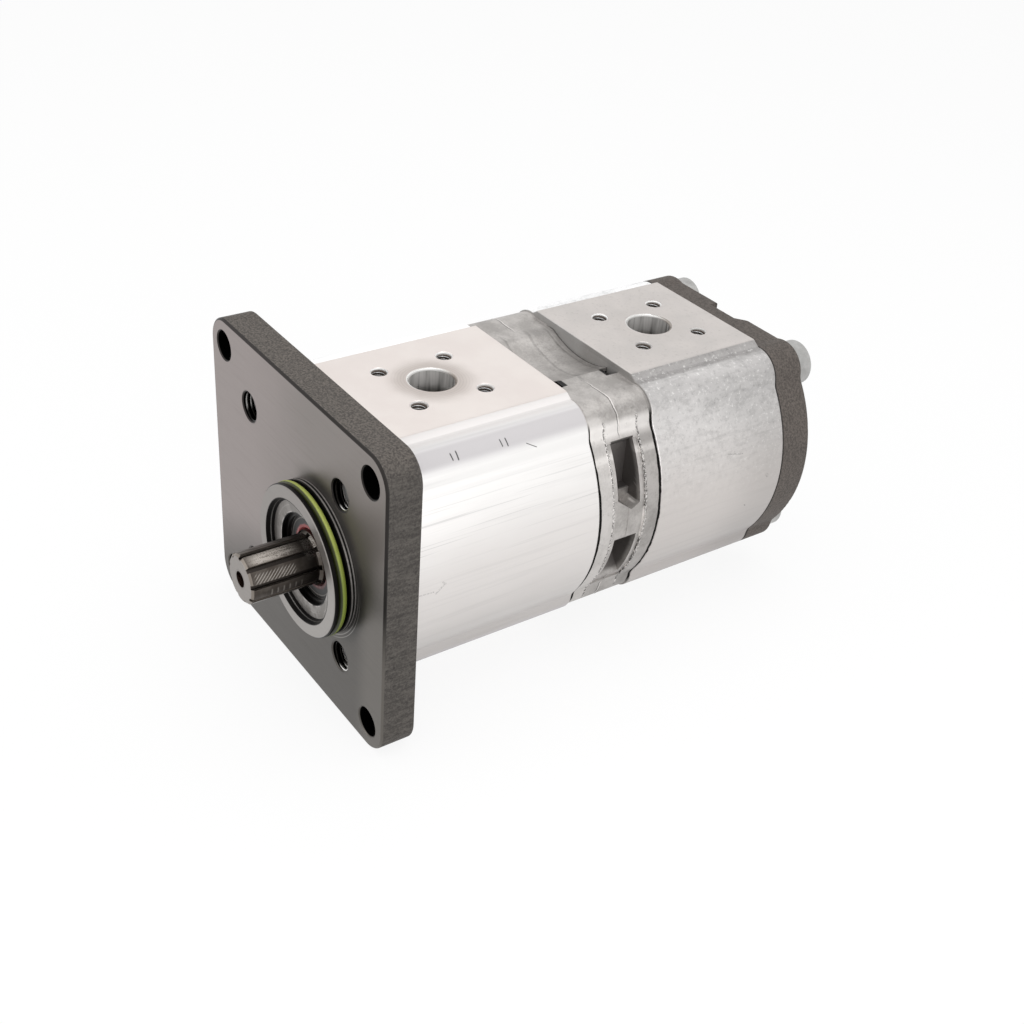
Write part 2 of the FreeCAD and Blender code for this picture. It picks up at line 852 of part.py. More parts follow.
def cut_teeth(body, along, width, first_gap):
    # One tooth gap between two involute flanks, repeated round the gear.
    teeth = size("gear_teeth").value
    pitch = half_center.value
    base = pitch * math.cos(math.radians(size("pressure_angle").value))
    tip = gear_tip_radius.value
    bottom = pitch - size("tooth_dedendum").value
    half_tooth = math.pi / (2 * teeth) - size("tooth_thinning").value / (2 * pitch)
    half_gap = math.pi / teeth - half_tooth
    rolled = involute_angle(pitch, base)

    def flank(radius):
        angle = half_gap - rolled + involute_angle(radius, base)
        return radius, angle

    def spot(polar, side):
        radius, angle = polar
        turn = first_gap + side * angle
        return FreeCAD.Vector(radius * math.cos(turn), radius * math.sin(turn), 0)

    foot = (bottom, flank(base)[1] * base / bottom * size("tooth_foot_taper").value)
    outside = (tip + size("tooth_dedendum").value, flank(tip)[1])
    sketch = make_sketch(body, "XZ_Plane", along)
    curves = []
    for side in (1, -1):
        flank_arc = Part.Arc(spot(flank(base), side), spot(flank((base + tip) / 2), side),
                             spot(flank(tip), side))
        curves.append(Part.LineSegment(spot(foot, side), spot(flank(base), side)))
        curves.append(flank_arc)
        curves.append(Part.LineSegment(spot(flank(tip), side), spot(outside, side)))
    curves.append(Part.Arc(spot(foot, 1), spot((bottom, 0.0), 1), spot(foot, -1)))
    curves.append(Part.LineSegment(spot(outside, 1), spot(outside, -1)))
    sketch.addGeometry(curves, False)
    gap = pocket(body, sketch, width)
    ring_of(body, gap, size("gear_teeth"))


def cut_splines(body, along, length, root_radius, tip_radius, count):
    # One straight-sided groove, open outwards, repeated round the shaft.
    half_width = size("spline_groove_half_width")
    spread = half_width + size("spline_flank_spread")
    sketch = make_sketch(body, "XZ_Plane", along)
    outside = tip_radius + half_width
    add_outline(sketch, [
        (-half_width, root_radius), (half_width, root_radius), (spread, outside),
        (-spread, outside),
    ])
    groove = pocket(body, sketch, length)
    ring_of(body, groove, count)


def front_drive_gear():
    start = -size("shaft_projection")
    chamfer = size("shaft_end_chamfer")
    tip = size("spline_tip_radius")
    journal = size("journal_radius")
    tail = size("tail_tip_radius")
    relief_start = -size("spline_end")
    relief_end = relief_start + size("shaft_relief_width")
    gear_start = front_body_start + size("front_block_seat")
    gear_end = gear_start + size("front_gear_width")
    tail_end = center_start + size("tail_length")
    body = make_body("front_drive_gear")
    turned(body, [
        (ZERO, start),
        (tip - chamfer, start),
        (tip, start + chamfer),
        (tip, relief_start),
        (size("shaft_relief_radius"), relief_start),
        (size("shaft_relief_radius"), relief_end),
        (tip, relief_end),
        (journal, relief_end + chamfer),
        (journal, gear_start),
        (gear_tip_radius, gear_start),
        (gear_tip_radius, gear_end),
        (journal, gear_end),
        (journal, center_start),
        (tail, center_start),
        (tail, tail_end - chamfer),
        (tail - chamfer, tail_end),
        (ZERO, tail_end),
    ])
    center = size("shaft_center_radius")
    depth = size("shaft_center_depth")
    turned(body, [(ZERO, start), (center, start), (center, start + depth),
                  (ZERO, start + depth + center / 2)], cut=True)
    gap = math.pi * (1 + 1 / size("gear_teeth").value)
    cut_teeth(body, gear_start, size("front_gear_width"), gap)
    # The grooves run out into the collar behind the relief.
    spline_length = relief_start - start + size("spline_runout")
    cut_splines(body, start, spline_length, size("spline_root_radius"), tip,
                size("spline_count"))
    cut_splines(body, center_start, size("tail_length"), size("tail_root_radius"), tail,
                size("tail_spline_count"))


def rear_drive_gear():
    start = center_start + size("tail_length") + size("tail_gap")
    chamfer = size("shaft_end_chamfer")
    journal = size("journal_radius")
    tail = size("tail_tip_radius")
    gear_start = rear_body_start + size("front_block_seat")
    gear_end = gear_start + size("rear_gear_width")
    body = make_body("rear_drive_gear")
    turned(body, [
        (ZERO, start),
        (tail - chamfer, start),
        (tail, start + chamfer),
        (tail, rear_body_start),
        (journal, rear_body_start),
        (journal, gear_start),
        (gear_tip_radius, gear_start),
        (gear_tip_radius, gear_end),
        (journal, gear_end),
        (journal, cover_start - size("journal_end_gap")),
        (ZERO, cover_start - size("journal_end_gap")),
    ])
    gap = math.pi * (1 + 1 / size("gear_teeth").value)
    cut_teeth(body, gear_start, size("rear_gear_width"), gap)
    cut_splines(body, start, rear_body_start - start, size("tail_root_radius"), tail,
                size("tail_spline_count"))


def driven_gear(label, stage_start, gear_width):
    journal = size("journal_radius")
    gap = size("journal_end_gap")
    gear_start = stage_start + size("front_block_seat")
    gear_end = gear_start + gear_width
    stage_end = gear_end + size("rear_block_seat")
    body = make_body(label, -size("gear_center_distance"))
    turned(body, [
        (ZERO, stage_start + gap),
        (journal, stage_start + gap),
        (journal, gear_start),
        (gear_tip_radius, gear_start),
        (gear_tip_radius, gear_end),
        (journal, gear_end),
        (journal, stage_end - gap),
        (ZERO, stage_end - gap),
    ])
    cut_teeth(body, gear_start, gear_width, 0.0)


def coupling_sleeve():
    # Splined sleeve that joins the two drive shafts inside the centre section.
    fit = size("sleeve_fit")
    bore = size("tail_tip_radius") + fit
    start = center_start + size("sleeve_end_gap")
    end = rear_body_start - size("sleeve_end_gap")
    body = make_body("coupling_sleeve")
    turned(body, [(bore, start), (size("sleeve_radius"), start), (size("sleeve_radius"), end),
                  (bore, end)])
    half_width = size("spline_groove_half_width") - fit
    sketch = make_sketch(body, "XZ_Plane", start)
    inner = size("tail_root_radius") + fit
    add_outline(sketch, [
        (-half_width, inner), (half_width, inner), (half_width, bore + fit),
        (-half_width, bore + fit),
    ])
    tooth = pad(body, sketch, end - start)
    ring_of(body, tooth, size("tail_spline_count"))


# The shaft seal and what holds it.

def pilot_o_ring():
    cord = size("o_ring_cord_radius")
    floor = size("pilot_radius") - size("pilot_groove_depth")
    center = size("pilot_groove_width") / 2 - size("pilot_groove_front")
    ring = doc.addObject("Part::Torus", "pilot_o_ring")
    ring.Label = "pilot_o_ring"
    bind(ring, "Radius1", floor + cord)
    bind(ring, "Radius2", cord)
    ring.Placement.Rotation = FreeCAD.Rotation(FreeCAD.Vector(1, 0, 0), 90)
    bind(ring, "Placement.Base.y", center)
    nodes.append(ring)


def shaft_seal():
    # Outer case, web, and a lip that runs on the shaft, with a seat for the spring.
    bore = size("seal_bore_radius")
    wall = size("seal_wall")
    web = ring_groove_back + wall
    back = shaft_seal_back
    body = make_body("shaft_seal")
    turned(body, [
        (bore, ring_groove_back),
        (bore, back),
        (bore - wall, back),
        (bore - wall, web),
        (spring_seat, web),
        (spring_seat, back - wall),
        (seal_lip + wall, back - wall),
        (seal_lip, back - wall * 2),
        (seal_lip + wall, web),
        (seal_lip, ring_groove_back + wall / 2),
        (seal_lip + wall / 2, ring_groove_back),
    ])


def seal_garter_spring():
    cord = size("spring_cord_radius")
    ring = doc.addObject("Part::Torus", "seal_garter_spring")
    ring.Label = "seal_garter_spring"
    bind(ring, "Radius1", spring_seat + cord)
    bind(ring, "Radius2", cord)
    ring.Placement.Rotation = FreeCAD.Rotation(FreeCAD.Vector(1, 0, 0), 90)
    bind(ring, "Placement.Base.y", shaft_seal_back - size("seal_wall") * 2)
    nodes.append(ring)


def seal_retaining_ring():
    # Internal retaining ring: an open ring with an eyed lug at each end.
    outer = size("seal_bore_radius") + size("ring_groove_depth")
    inner = outer - size("ring_radial_width")
    angle = size("ring_gap_angle")
    lug_angle = size("ring_lug_angle")
    body = make_body("seal_retaining_ring", ZERO, ring_groove_back - size("ring_thickness"))
    body.Placement.Rotation = FreeCAD.Rotation(FreeCAD.Vector(0, -1, 0), 1)
    bind(body, "Placement.Rotation.Angle", size("ring_turn"))
    sketch = make_sketch(body, "XZ_Plane")
    add_outline(sketch, [
        (outer * -sine(angle), outer * -cosine(angle), outer, -1, "large"),
        (outer * sine(angle), outer * -cosine(angle)),
        (inner * sine(angle), inner * -cosine(angle), inner, 1, "large"),
        (inner * -sine(angle), inner * -cosine(angle)),
    ])
    pad(body, sketch, size("ring_thickness"))
    reach = inner - size("ring_lug_inset")
    places = [(reach * sine(lug_angle) * side, reach * -cosine(lug_angle)) for side in (1, -1)]
    lugs = make_sketch(body, "XZ_Plane")
    for across, up in places:
        add_circle(lugs, across, up, size("ring_lug_radius"))
    pad(body, lugs, size("ring_thickness"))
    cut_circles(body, ZERO, places, size("ring_lug_hole_radius"), size("ring_thickness"))


# Fasteners: one is modelled at the upper right corner and mirrored to the others.

def mirrored_group(label, body, planes):
    nodes.remove(body)
    members = [body]
    for normal in planes:
        copies = []
        for member in members:
            copy = doc.addObject("Part::Mirroring", label + "_copy")
            copy.Source = member
            copy.Base = FreeCAD.Vector(0, 0, 0)
            copy.Normal = normal
            copies.append(copy)
        members = members + copies
    group = doc.addObject("Part::Compound", label)
    group.Label = label
    group.Links = members
    bind(group, "Placement.Base.x", -half_center)
    nodes.append(group)


def through_bolts():
    radius = size("bolt_radius")
    head = size("bolt_head_radius")
    rounding = size("bolt_head_rounding")
    tip = size("bolt_tip_setback")
    top = cover_end + size("bolt_head_height")
    body = make_body("through_bolt", bolt_across)
    bind(body, "Placement.Base.z", bolt_up)
    turned(body, [
        (ZERO, tip), (radius - rounding, tip), (radius, tip + rounding), (radius, cover_end),
        (head, cover_end), (head, top - rounding, rounding, 1), (head - rounding, top),
        (ZERO, top),
    ])
    depth = size("bolt_socket_depth")
    half = size("bolt_socket_flats") / 2
    corner = half * 2 / root(as_size(3))
    sketch = make_sketch(body, "XZ_Plane", top - depth)
    add_outline(sketch, [
        (corner, ZERO), (corner / 2, half), (-corner / 2, half),
        (-corner, ZERO), (-corner / 2, -half), (corner / 2, -half),
    ])
    pocket(body, sketch, depth)
    planes = (FreeCAD.Vector(1, 0, 0), FreeCAD.Vector(0, 0, 1))
    mirrored_group("through_bolts", body, planes)


def dowel_pair(label, along):
    radius = size("dowel_radius")
    half = size("dowel_depth")
    chamfer = size("thread_chamfer")
    body = make_body(label + "_one", size("dowel_offset"), along)
    bind(body, "Placement.Base.z", size("dowel_height"))
    turned(body, [
        (ZERO, -half), (radius - chamfer, -half), (radius, chamfer - half),
        (radius, half - chamfer), (radius - chamfer, half), (ZERO, half),
    ])
    mirrored_group(label, body, (FreeCAD.Vector(1, 0, 0),))


def build_stage(name, start, gear_width):
    end = start + blocks_total + gear_width
    gear_start = start + size("front_block_seat")
    rear_block_start = gear_start + gear_width + size("gear_side_clearance")
    stage_body(name + "_body", start, gear_width)
    body_seal(name + "_body_front_seal", start)
    body_seal(name + "_body_rear_seal", end - size("seal_groove_depth"))
    for place, along, seat in (("front", start, size("front_block_seat")),
                               ("rear", rear_block_start, size("rear_block_seat"))):
        facing_front = place == "front"
        prefix = name + "_stage_" + place
        bearing_block(prefix + "_block", along, seat, facing_front)
        seal_at = start if facing_front else end - size("block_seal_depth")
        block_seal(prefix + "_block_seal", seal_at)
        bush(prefix + "_drive_bush", ZERO, along, seat)
        bush(prefix + "_driven_bush", -size("gear_center_distance"), along, seat)
    driven_gear(name + "_driven_gear", start, gear_width)


front_flange()
pilot_o_ring()
shaft_seal()
seal_garter_spring()
seal_retaining_ring()
build_stage("front", front_body_start, size("front_gear_width"))
center_section()
coupling_sleeve()
build_stage("rear", rear_body_start, size("rear_gear_width"))
rear_cover()
front_drive_gear()
rear_drive_gear()
through_bolts()
dowel_pair("flange_dowels", front_body_start)
dowel_pair("front_joint_dowels", center_start)
dowel_pair("rear_joint_dowels", rear_body_start)
dowel_pair("cover_dowels", cover_start)
doc.recompute()

for item in doc.Objects:
    if "Invalid" in item.State or "Error" in item.State:
        raise RuntimeError(item.Label + " failed: " + str(item.State))
for node in nodes:
    if node.Shape.isNull() or not node.Shape.isValid() or not node.Shape.Solids:
        raise RuntimeError(node.Label + " has no valid solid")

os.makedirs("parts", exist_ok=True)
for node in nodes:
    node.Shape.exportStep("parts/" + node.Label + ".step")
    print(node.Label, len(node.Shape.Solids), round(node.Shape.Volume, 1))
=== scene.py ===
import math

import bmesh
import bpy
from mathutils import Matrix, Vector
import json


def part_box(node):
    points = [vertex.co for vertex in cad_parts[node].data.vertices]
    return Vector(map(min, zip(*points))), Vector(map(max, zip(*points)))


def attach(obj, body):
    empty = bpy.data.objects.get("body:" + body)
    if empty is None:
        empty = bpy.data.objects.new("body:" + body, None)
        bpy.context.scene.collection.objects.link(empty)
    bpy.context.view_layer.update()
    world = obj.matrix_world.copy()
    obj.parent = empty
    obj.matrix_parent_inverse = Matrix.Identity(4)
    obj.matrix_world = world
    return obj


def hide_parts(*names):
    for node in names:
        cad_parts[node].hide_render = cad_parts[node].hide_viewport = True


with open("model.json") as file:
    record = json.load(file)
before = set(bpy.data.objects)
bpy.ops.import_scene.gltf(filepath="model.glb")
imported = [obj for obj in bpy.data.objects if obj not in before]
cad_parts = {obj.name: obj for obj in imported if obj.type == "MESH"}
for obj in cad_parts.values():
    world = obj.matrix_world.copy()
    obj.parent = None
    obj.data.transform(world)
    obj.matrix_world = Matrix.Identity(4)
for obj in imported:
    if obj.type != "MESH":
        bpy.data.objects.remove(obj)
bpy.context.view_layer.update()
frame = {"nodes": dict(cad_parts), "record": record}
print("frame loaded:", len(frame["nodes"]), "nodes")

mm = 0.001
middle = -15.4  # the casing's middle, across
frontPort = 49.9  # along the shaft, from the mounting face
rearPort = 139.9
boltAcross = 29.9  # the four casing bolts, from that middle
boltUp = 30.3
boltSpots = [(middle + i * boltAcross, j * boltUp) for i in (1, -1) for j in (1, -1)]
boltHole = 5.6  # a radius that takes in the rim of a bolt hole
mergeWithin = 0.002 * mm  # points closer than this are one
onPlane = 0.02  # how near an edge lies to its plane
coreRadius = 34.0  # the centre casting's bores and grooves lie inside this
sideRadius = 47.5  # and its round sides outside this
frontSpan = (12.0, 84.4)  # start and end of each casting, along the shaft
centerSpan = (84.4, 110.4)
rearSpan = (110.4, 166.0)
padTop = 42.0  # the machined pads, above and below the shaft
portRadius = {"upper": 7.5, "lower": 10.0}
screwCircle = {"upper": 35.0, "lower": 40.0}  # four screw holes round each port
# from the port's middle to a screw, across and along
screwSteps = {level: wide / 2 / math.sqrt(2) for level, wide in screwCircle.items()}


def tone(red, green, blue):
    # screen colour to the linear values that shaders use
    values = [c / 12.92 if c < 0.04045 else ((c + 0.055) / 1.055) ** 2.4 for c in (red, green, blue)]
    return (*values, 1.0)


class Socket:
    # an output that can be used in sums; each operation adds its Math node
    def __init__(self, graph, output):
        self.graph = graph
        self.output = output

    def pick(self, name):
        return Socket(self.graph, self.output.node.outputs[name])

    def maths(self, operation, *others):
        values = dict(enumerate((self, *others)))
        return self.graph.add("ShaderNodeMath", {"operation": operation}, values)

    def __add__(self, other):
        return self.maths("ADD", other)

    __radd__ = __add__

    def __mul__(self, other):
        return self.maths("MULTIPLY", other)

    __rmul__ = __mul__

    def __sub__(self, other):
        return self.maths("SUBTRACT", other)

    def __rsub__(self, other):
        return self.graph.add("ShaderNodeMath", {"operation": "SUBTRACT"}, {0: other, 1: self})

    def __truediv__(self, other):
        return self.maths("DIVIDE", other)

    def __abs__(self):
        return self.maths("ABSOLUTE")

    def ramp(self, low, high):
        # 0 at low, 1 at high, eased between; low may be the larger
        return self.graph.add(
            "ShaderNodeMapRange", {"interpolation_type": "SMOOTHSTEP"}, {0: self, 1: low, 2: high}
        )


class Graph:
    # a node tree that is filled by one method
    def __init__(self, tree):
        self.tree = tree

    def add(self, kind, settings=None, values=None, output=0):
        node = self.tree.nodes.new(kind)
        for name, value in (settings or {}).items():
            setattr(node, name, value)
        for key, value in (values or {}).items():
            if isinstance(value, Socket):
                self.tree.links.new(value.output, node.inputs[key])
            else:
                node.inputs[key].default_value = value
        if not node.outputs:
            return None
        return Socket(self, node.outputs[output])

    def blend(self, share, first, second):
        # sockets 6, 7 and output 2 are the Mix node's colours
        values = {0: share, 6: first, 7: second}
        return self.add("ShaderNodeMix", {"data_type": "RGBA"}, values, 2)

    def darken(self, share, color, factor):
        # color times factor, by share
        values = {0: share, 6: color, 7: (factor, factor, factor, 1.0)}
        return self.add("ShaderNodeMix", {"data_type": "RGBA", "blend_type": "MULTIPLY"}, values, 2)

    def noise(self, place, scale, detail=3.0, roughness=0.55):
        values = {"Vector": place, "Scale": scale, "Detail": detail, "Roughness": roughness}
        return self.add("ShaderNodeTexNoise", None, values)

    def stretch(self, place, factors):
        return self.add("ShaderNodeVectorMath", {"operation": "MULTIPLY"}, {0: place, 1: factors})

    def axes(self, place):
        parts = self.add("ShaderNodeSeparateXYZ", None, {0: place})
        return parts.pick("X"), parts.pick("Y"), parts.pick("Z")

    def distance(self, first, second):
        return (first * first + second * second).maths("SQRT")

    def bump(self, height, depth, strength):
        values = {"Height": height, "Distance": depth * mm, "Strength": strength}
        return self.add("ShaderNodeBump", None, values)


def newLook(name):
    # a material with its graph, and the place on the piece in mm
    look = bpy.data.materials.new(name)
    look.use_nodes = True
    look.node_tree.nodes.clear()
    graph = Graph(look.node_tree)
    spot = graph.add("ShaderNodeTexCoord", None, None, "Object")
    place = graph.add("ShaderNodeVectorMath", {"operation": "SCALE"}, {0: spot, "Scale": 1.0 / mm})
    return look, graph, place


def closeLook(look, graph, color, roughness, metallic, relief=None, gloss=0.5):
    # adds the shader and gives back the finished material
    values = {"Base Color": color, "Roughness": roughness, "Metallic": metallic}
    values["Specular IOR Level"] = gloss
    if relief is not None:
        values["Normal"] = relief
    shader = graph.add("ShaderNodeBsdfPrincipled", None, values, "BSDF")
    graph.add("ShaderNodeOutputMaterial", None, {"Surface": shader})
    return look


def addToScene(thing):
    bpy.context.scene.collection.objects.link(thing)


# camera, lamps and floor, in metres and degrees
cameraSet = {
    "place": (0.32023, -0.16867, 0.25573),
    "turn": (56.686, -3.893, 55.330),
    "lens": 49.52,
    "sensor": 36.0,
    "nearest": 0.01,
}
lampSet = {
    "top": {"place": (0.0, 0.05, 0.75), "size": 0.8, "watts": 2.6},
    "side": {"place": (0.75, -0.05, 0.25), "size": 0.6, "watts": 2.2},
    "front": {"place": (-0.25, -0.7, 0.15), "size": 0.5, "watts": 0.9},
}
lampTarget = (middle * mm, 0.08, 0.0)
roomSet = {"level": 0.72, "floor": -0.0537, "reach": 3.0, "pale": 0.92, "glow": 0.88}


def makeCamera():
    lens = bpy.data.cameras.new("photoCamera")
    lens.lens = cameraSet["lens"]
    lens.sensor_width = cameraSet["sensor"]
    lens.clip_start = cameraSet["nearest"]
    camera = bpy.data.objects.new("photoCamera", lens)
    camera.location = cameraSet["place"]
    camera.rotation_euler = [math.radians(angle) for angle in cameraSet["turn"]]
    addToScene(camera)
    bpy.context.scene.camera = camera


def makeLamps():
    for name, lamp in lampSet.items():
        light = bpy.data.lights.new(name + "Lamp", "AREA")
        light.shape = "SQUARE"
        light.size = lamp["size"]
        light.energy = lamp["watts"]
        holder = bpy.data.objects.new(name + "Lamp", light)
        holder.location = lamp["place"]
        aim = Vector(lampTarget) - Vector(lamp["place"])
        holder.rotation_euler = aim.to_track_quat("-Z", "Y").to_euler()
        addToScene(holder)


def makeRoom():
    world = bpy.data.worlds.new("studio")
    bpy.context.scene.world = world
    world.use_nodes = True
    world.node_tree.nodes.clear()
    graph = Graph(world.node_tree)
    path = graph.add("ShaderNodeLightPath")
    seen = path.pick("Is Camera Ray").maths("MAXIMUM", path.pick("Is Glossy Ray"))
    seen = seen.maths("MAXIMUM", path.pick("Is Transmission Ray"))
    level = roomSet["level"] + (1.0 - roomSet["level"]) * seen
    light = graph.add("ShaderNodeBackground", None, {"Color": (1.0, 1.0, 1.0, 1.0), "Strength": level})
    graph.add("ShaderNodeOutputWorld", None, {"Surface": light})

    reach = roomSet["reach"]
    sheet = bpy.data.meshes.new("studioFloor")
    corners = [(i * reach, j * reach, roomSet["floor"]) for i, j in ((-1, -1), (1, -1), (1, 1), (-1, 1))]
    sheet.from_pydata(corners, [], [(0, 1, 2, 3)])
    floor = bpy.data.objects.new("studioFloor", sheet)
    addToScene(floor)
    look, graph = newLook("paleFloor")[:2]
    path = graph.add("ShaderNodeLightPath")
    seen = path.pick("Is Camera Ray").maths("MAXIMUM", path.pick("Is Glossy Ray"))
    pale = roomSet["pale"]
    matt = graph.add("ShaderNodeBsdfDiffuse", None, {"Color": (pale, pale, pale, 1.0)}, "BSDF")
    glow = graph.add("ShaderNodeEmission", None, {"Color": (1.0, 1.0, 1.0, 1.0), "Strength": 1.0})
    mixed = graph.add("ShaderNodeMixShader", None, {0: seen * roomSet["glow"], 1: matt, 2: glow})
    graph.add("ShaderNodeOutputMaterial", None, {"Surface": mixed})
    sheet.materials.append(look)


makeCamera()
makeLamps()
makeRoom()
bpy.context.scene.view_settings.view_transform = "Standard"
print("camera, lamps and floor placed")


def strokeMask(along, up, start, end, width):
    # a straight scratch from start to end, in (along, up)
    run = Vector(end) - Vector(start)
    length = run.length
    run.normalize()
    ahead = (along - start[0]) * run.x + (up - start[1]) * run.y
    aside = abs((along - start[0]) * run.y - (up - start[1]) * run.x)
    inside = ahead.ramp(-0.1, 0.25) * ahead.ramp(length + 0.1, length - 0.25)
    return aside.ramp(width, width * 0.4) * inside


def nearTo(value, spot, width):
    # 1 at the spot, 0 from width on
    return abs(value - spot).ramp(width, width * 0.3)


def inSpan(value, low, high, soft):
    return value.ramp(low - soft, low + soft) * value.ramp(high + soft, high - soft)


def anyOf(*masks):
    total = masks[0]
    for mask in masks[1:]:
        total = total.maths("MAXIMUM", mask)
    return total


def boltMask(graph, x, z, across, up, radius):
    # inside four holes that lie evenly about the casing's middle
    side = abs(x - middle) - across
    rise = abs(z) - up
    return graph.distance(side, rise).ramp(radius + 0.05, radius - 0.05)


def flangeLook():
    # iron flange: ground in front, rough outside; the masks' numbers are mm on the piece
    shades = {
        "ground": tone(0.515, 0.490, 0.475),
        "groundWarm": tone(0.580, 0.545, 0.535),
        "groundShade": tone(0.335, 0.322, 0.307),
        "groundRight": tone(0.440, 0.423, 0.402),
        "ringFace": tone(0.560, 0.542, 0.528),
        "ringRight": tone(0.625, 0.610, 0.596),
        "seat": tone(0.500, 0.485, 0.470),
        "castTop": tone(0.410, 0.385, 0.362),
        "castTopDark": tone(0.255, 0.238, 0.225),
        "castSide": tone(0.345, 0.328, 0.310),
        "castSideDark": tone(0.225, 0.210, 0.198),
        "reflectionAndShade": tone(0.070, 0.065, 0.061),
        "line": tone(0.740, 0.725, 0.710),
        "hole": tone(0.030, 0.028, 0.026),
        "glint": tone(0.860, 0.850, 0.840),
    }
    look, graph, place = newLook("flangeIron")
    x, y, z = graph.axes(place)
    radius = graph.distance(x, z)  # from the shaft's axis
    pilot, recess, bore = 25.0, 20.4, 15.0  # radii
    front = -7.4  # the pilot's ring face
    grain = graph.noise(place, 1.5, 4.0, 0.65)
    coarse = graph.noise(place, 0.55, 3.0, 0.6)
    drag = graph.noise(graph.stretch(place, (0.7, 0.16, 0.9)), 1.0, 4.0, 0.7)
    cloud = graph.noise(place, 0.03, 2.0)
    brush = graph.noise(graph.stretch(place, (0.05, 1.0, 1.1)), 1.0, 3.0, 0.6)

    # ground front: warmer to the left, painted shade towards the foot, and a painted dark reflection and
    # painted shadow beside the pilot
    ground = graph.blend((cloud * 30.0 - x).ramp(10.0, 62.0), shades["ground"], shades["groundWarm"])
    # painted shade towards the foot
    ground = graph.blend((z - x * 0.45 + cloud * 8.0).ramp(16.0, -13.0), ground, shades["groundShade"])
    # painted dark reflection to the right of the pilot
    ground = graph.darken(radius.ramp(38.0, pilot) * x.ramp(4.0, 26.0) * 0.16, ground, 0.30)
    ground = graph.blend(x.ramp(23.0, 33.0) * z.ramp(8.0, -4.0) * 0.6, ground, shades["groundRight"])
    shadow = radius.ramp(pilot + 6.5, pilot + 0.4) * (x + z * 0.6).ramp(-4.0, 20.0)
    ground = graph.darken(shadow * 0.92, ground, 0.14)
    arcs = anyOf(nearTo(radius, pilot + 0.9, 0.22), nearTo(radius, pilot + 1.9, 0.18))
    arcs = arcs * x.ramp(6.0, 14.0) * z.ramp(8.0, -4.0)
    ground = graph.blend(arcs * 0.40, ground, shades["line"])
    ground = graph.darken(brush.ramp(0.52, 0.75) * 0.25, ground, 0.80)

    # rough outside, painted lighter on top as light from above and darker on the side as shade
    toSide = (x - z + 12.4).ramp(-7.0, 8.0)
    top = graph.blend(grain.ramp(0.36, 0.66), shades["castTopDark"], shades["castTop"])
    dragged = (grain * 0.5 + drag * 0.5).ramp(0.38, 0.62)
    side = graph.blend(dragged, shades["castSideDark"], shades["castSide"])
    cast = graph.blend(toSide, top, side)
    pits = coarse.ramp(0.62, 0.72)
    cast = graph.darken(pits * 0.6, cast, 0.40)
    rough = y.ramp(0.35, 0.9)
    edgeShade = inSpan(y, 0.01, 0.85, 0.01)
    color = graph.blend(rough, ground, cast)
    # painted shade on the eased front edge, stronger lower down and to the right
    color = graph.darken(edgeShade * (z - x * 0.2).ramp(-30.0, 0.0), color, 0.14)

    # pilot: smooth ring face, painted dark reflection on its sides, painted shade in its groove, recess
    # and bore, painted highlight lines at its steps
    face = y.ramp(front + 0.5, front + 0.1) * radius.ramp(recess - 0.2, recess + 0.2)
    toRight = (z - x + cloud * 20.0).ramp(28.0, -22.0)
    ringTone = graph.blend(toRight, shades["ringFace"], shades["ringRight"])
    color = graph.blend(face, color, ringTone)
    seat = y.ramp(-3.9, -4.3) * radius.ramp(19.75, 19.5)
    patch = graph.noise(place, 0.30, 3.0, 0.6)
    color = graph.blend(seat, color, shades["seat"])
    color = graph.blend(seat * patch.ramp(0.40, 0.60) * 0.9, color, ringTone)
    flank = inSpan(y, front + 0.25, -0.08, 0.05) * radius.ramp(pilot - 0.8, pilot - 0.3)
    groove = inSpan(y, -6.0, -2.4, 0.05) * radius.ramp(pilot - 0.1, pilot - 0.3)
    wall = inSpan(radius, 19.25, 20.62, 0.06) * y.ramp(front - 0.1, front)
    inBore = radius.ramp(bore + 0.6, bore + 0.1)
    # painted dark reflection on the pilot's sides, painted shade in its groove, recess and bore
    reflectionAndShade = anyOf(flank, groove * radius.ramp(22.3, 22.5), wall, inBore)
    color = graph.blend(reflectionAndShade, color, shades["reflectionAndShade"])
    # painted highlights at the pilot's steps
    stepHighlights = anyOf(nearTo(y, -0.38, 0.34), nearTo(y, -1.50, 0.36)) * flank
    inner = nearTo(y, -5.9, 0.22) * wall * 0.6
    lathe = nearTo(radius, 17.6, 0.20) * 0.35 + nearTo(radius, bore + 0.35, 0.22)
    lathe = lathe * seat * patch.ramp(0.36, 0.56)
    rims = anyOf(stepHighlights * 0.85, inner * 0.55, lathe.maths("MINIMUM", 1.0))
    color = graph.blend(rims, color, shades["line"])

    # holes painted dark inside as shade, the tapped ones with a painted bright crescent as highlight and
    # a darker mouth
    tapped = boltMask(graph, x, z, boltAcross, boltUp, boltHole)
    plain = boltMask(graph, x, z, 47.4, 44.3, 5.4)  # the corner holes
    holes = anyOf(tapped, plain) * y.ramp(0.25, 0.5)
    color = graph.blend(holes, color, shades["hole"])
    crescent = tapped * x.ramp(0.0, 1.0) * y.ramp(2.4, 3.2)
    color = graph.blend(crescent * 0.9, color, shades["glint"])
    mouth = boltMask(graph, x, z, boltAcross, boltUp, boltHole + 0.1)
    mouth = mouth * y.ramp(0.3, 0.05) * y.ramp(-1.0, -0.1)
    color = graph.darken(mouth * 0.35, color, 0.45)
    shine = 0.33 + brush * 0.10 + rough * 0.36 + reflectionAndShade * 0.04 + holes * 0.3
    metal = 0.92 - rough * 0.62 + holes * 0.7
    relief = graph.bump(grain * rough * 0.8 + coarse * rough * 0.5 - pits * rough * 0.9, 0.20, 0.8)
    return closeLook(look, graph, color, shine, metal, relief)


def byLevel(upper, sizes):
    # a size that differs between the ports above and below
    return sizes["lower"] + (sizes["upper"] - sizes["lower"]) * upper


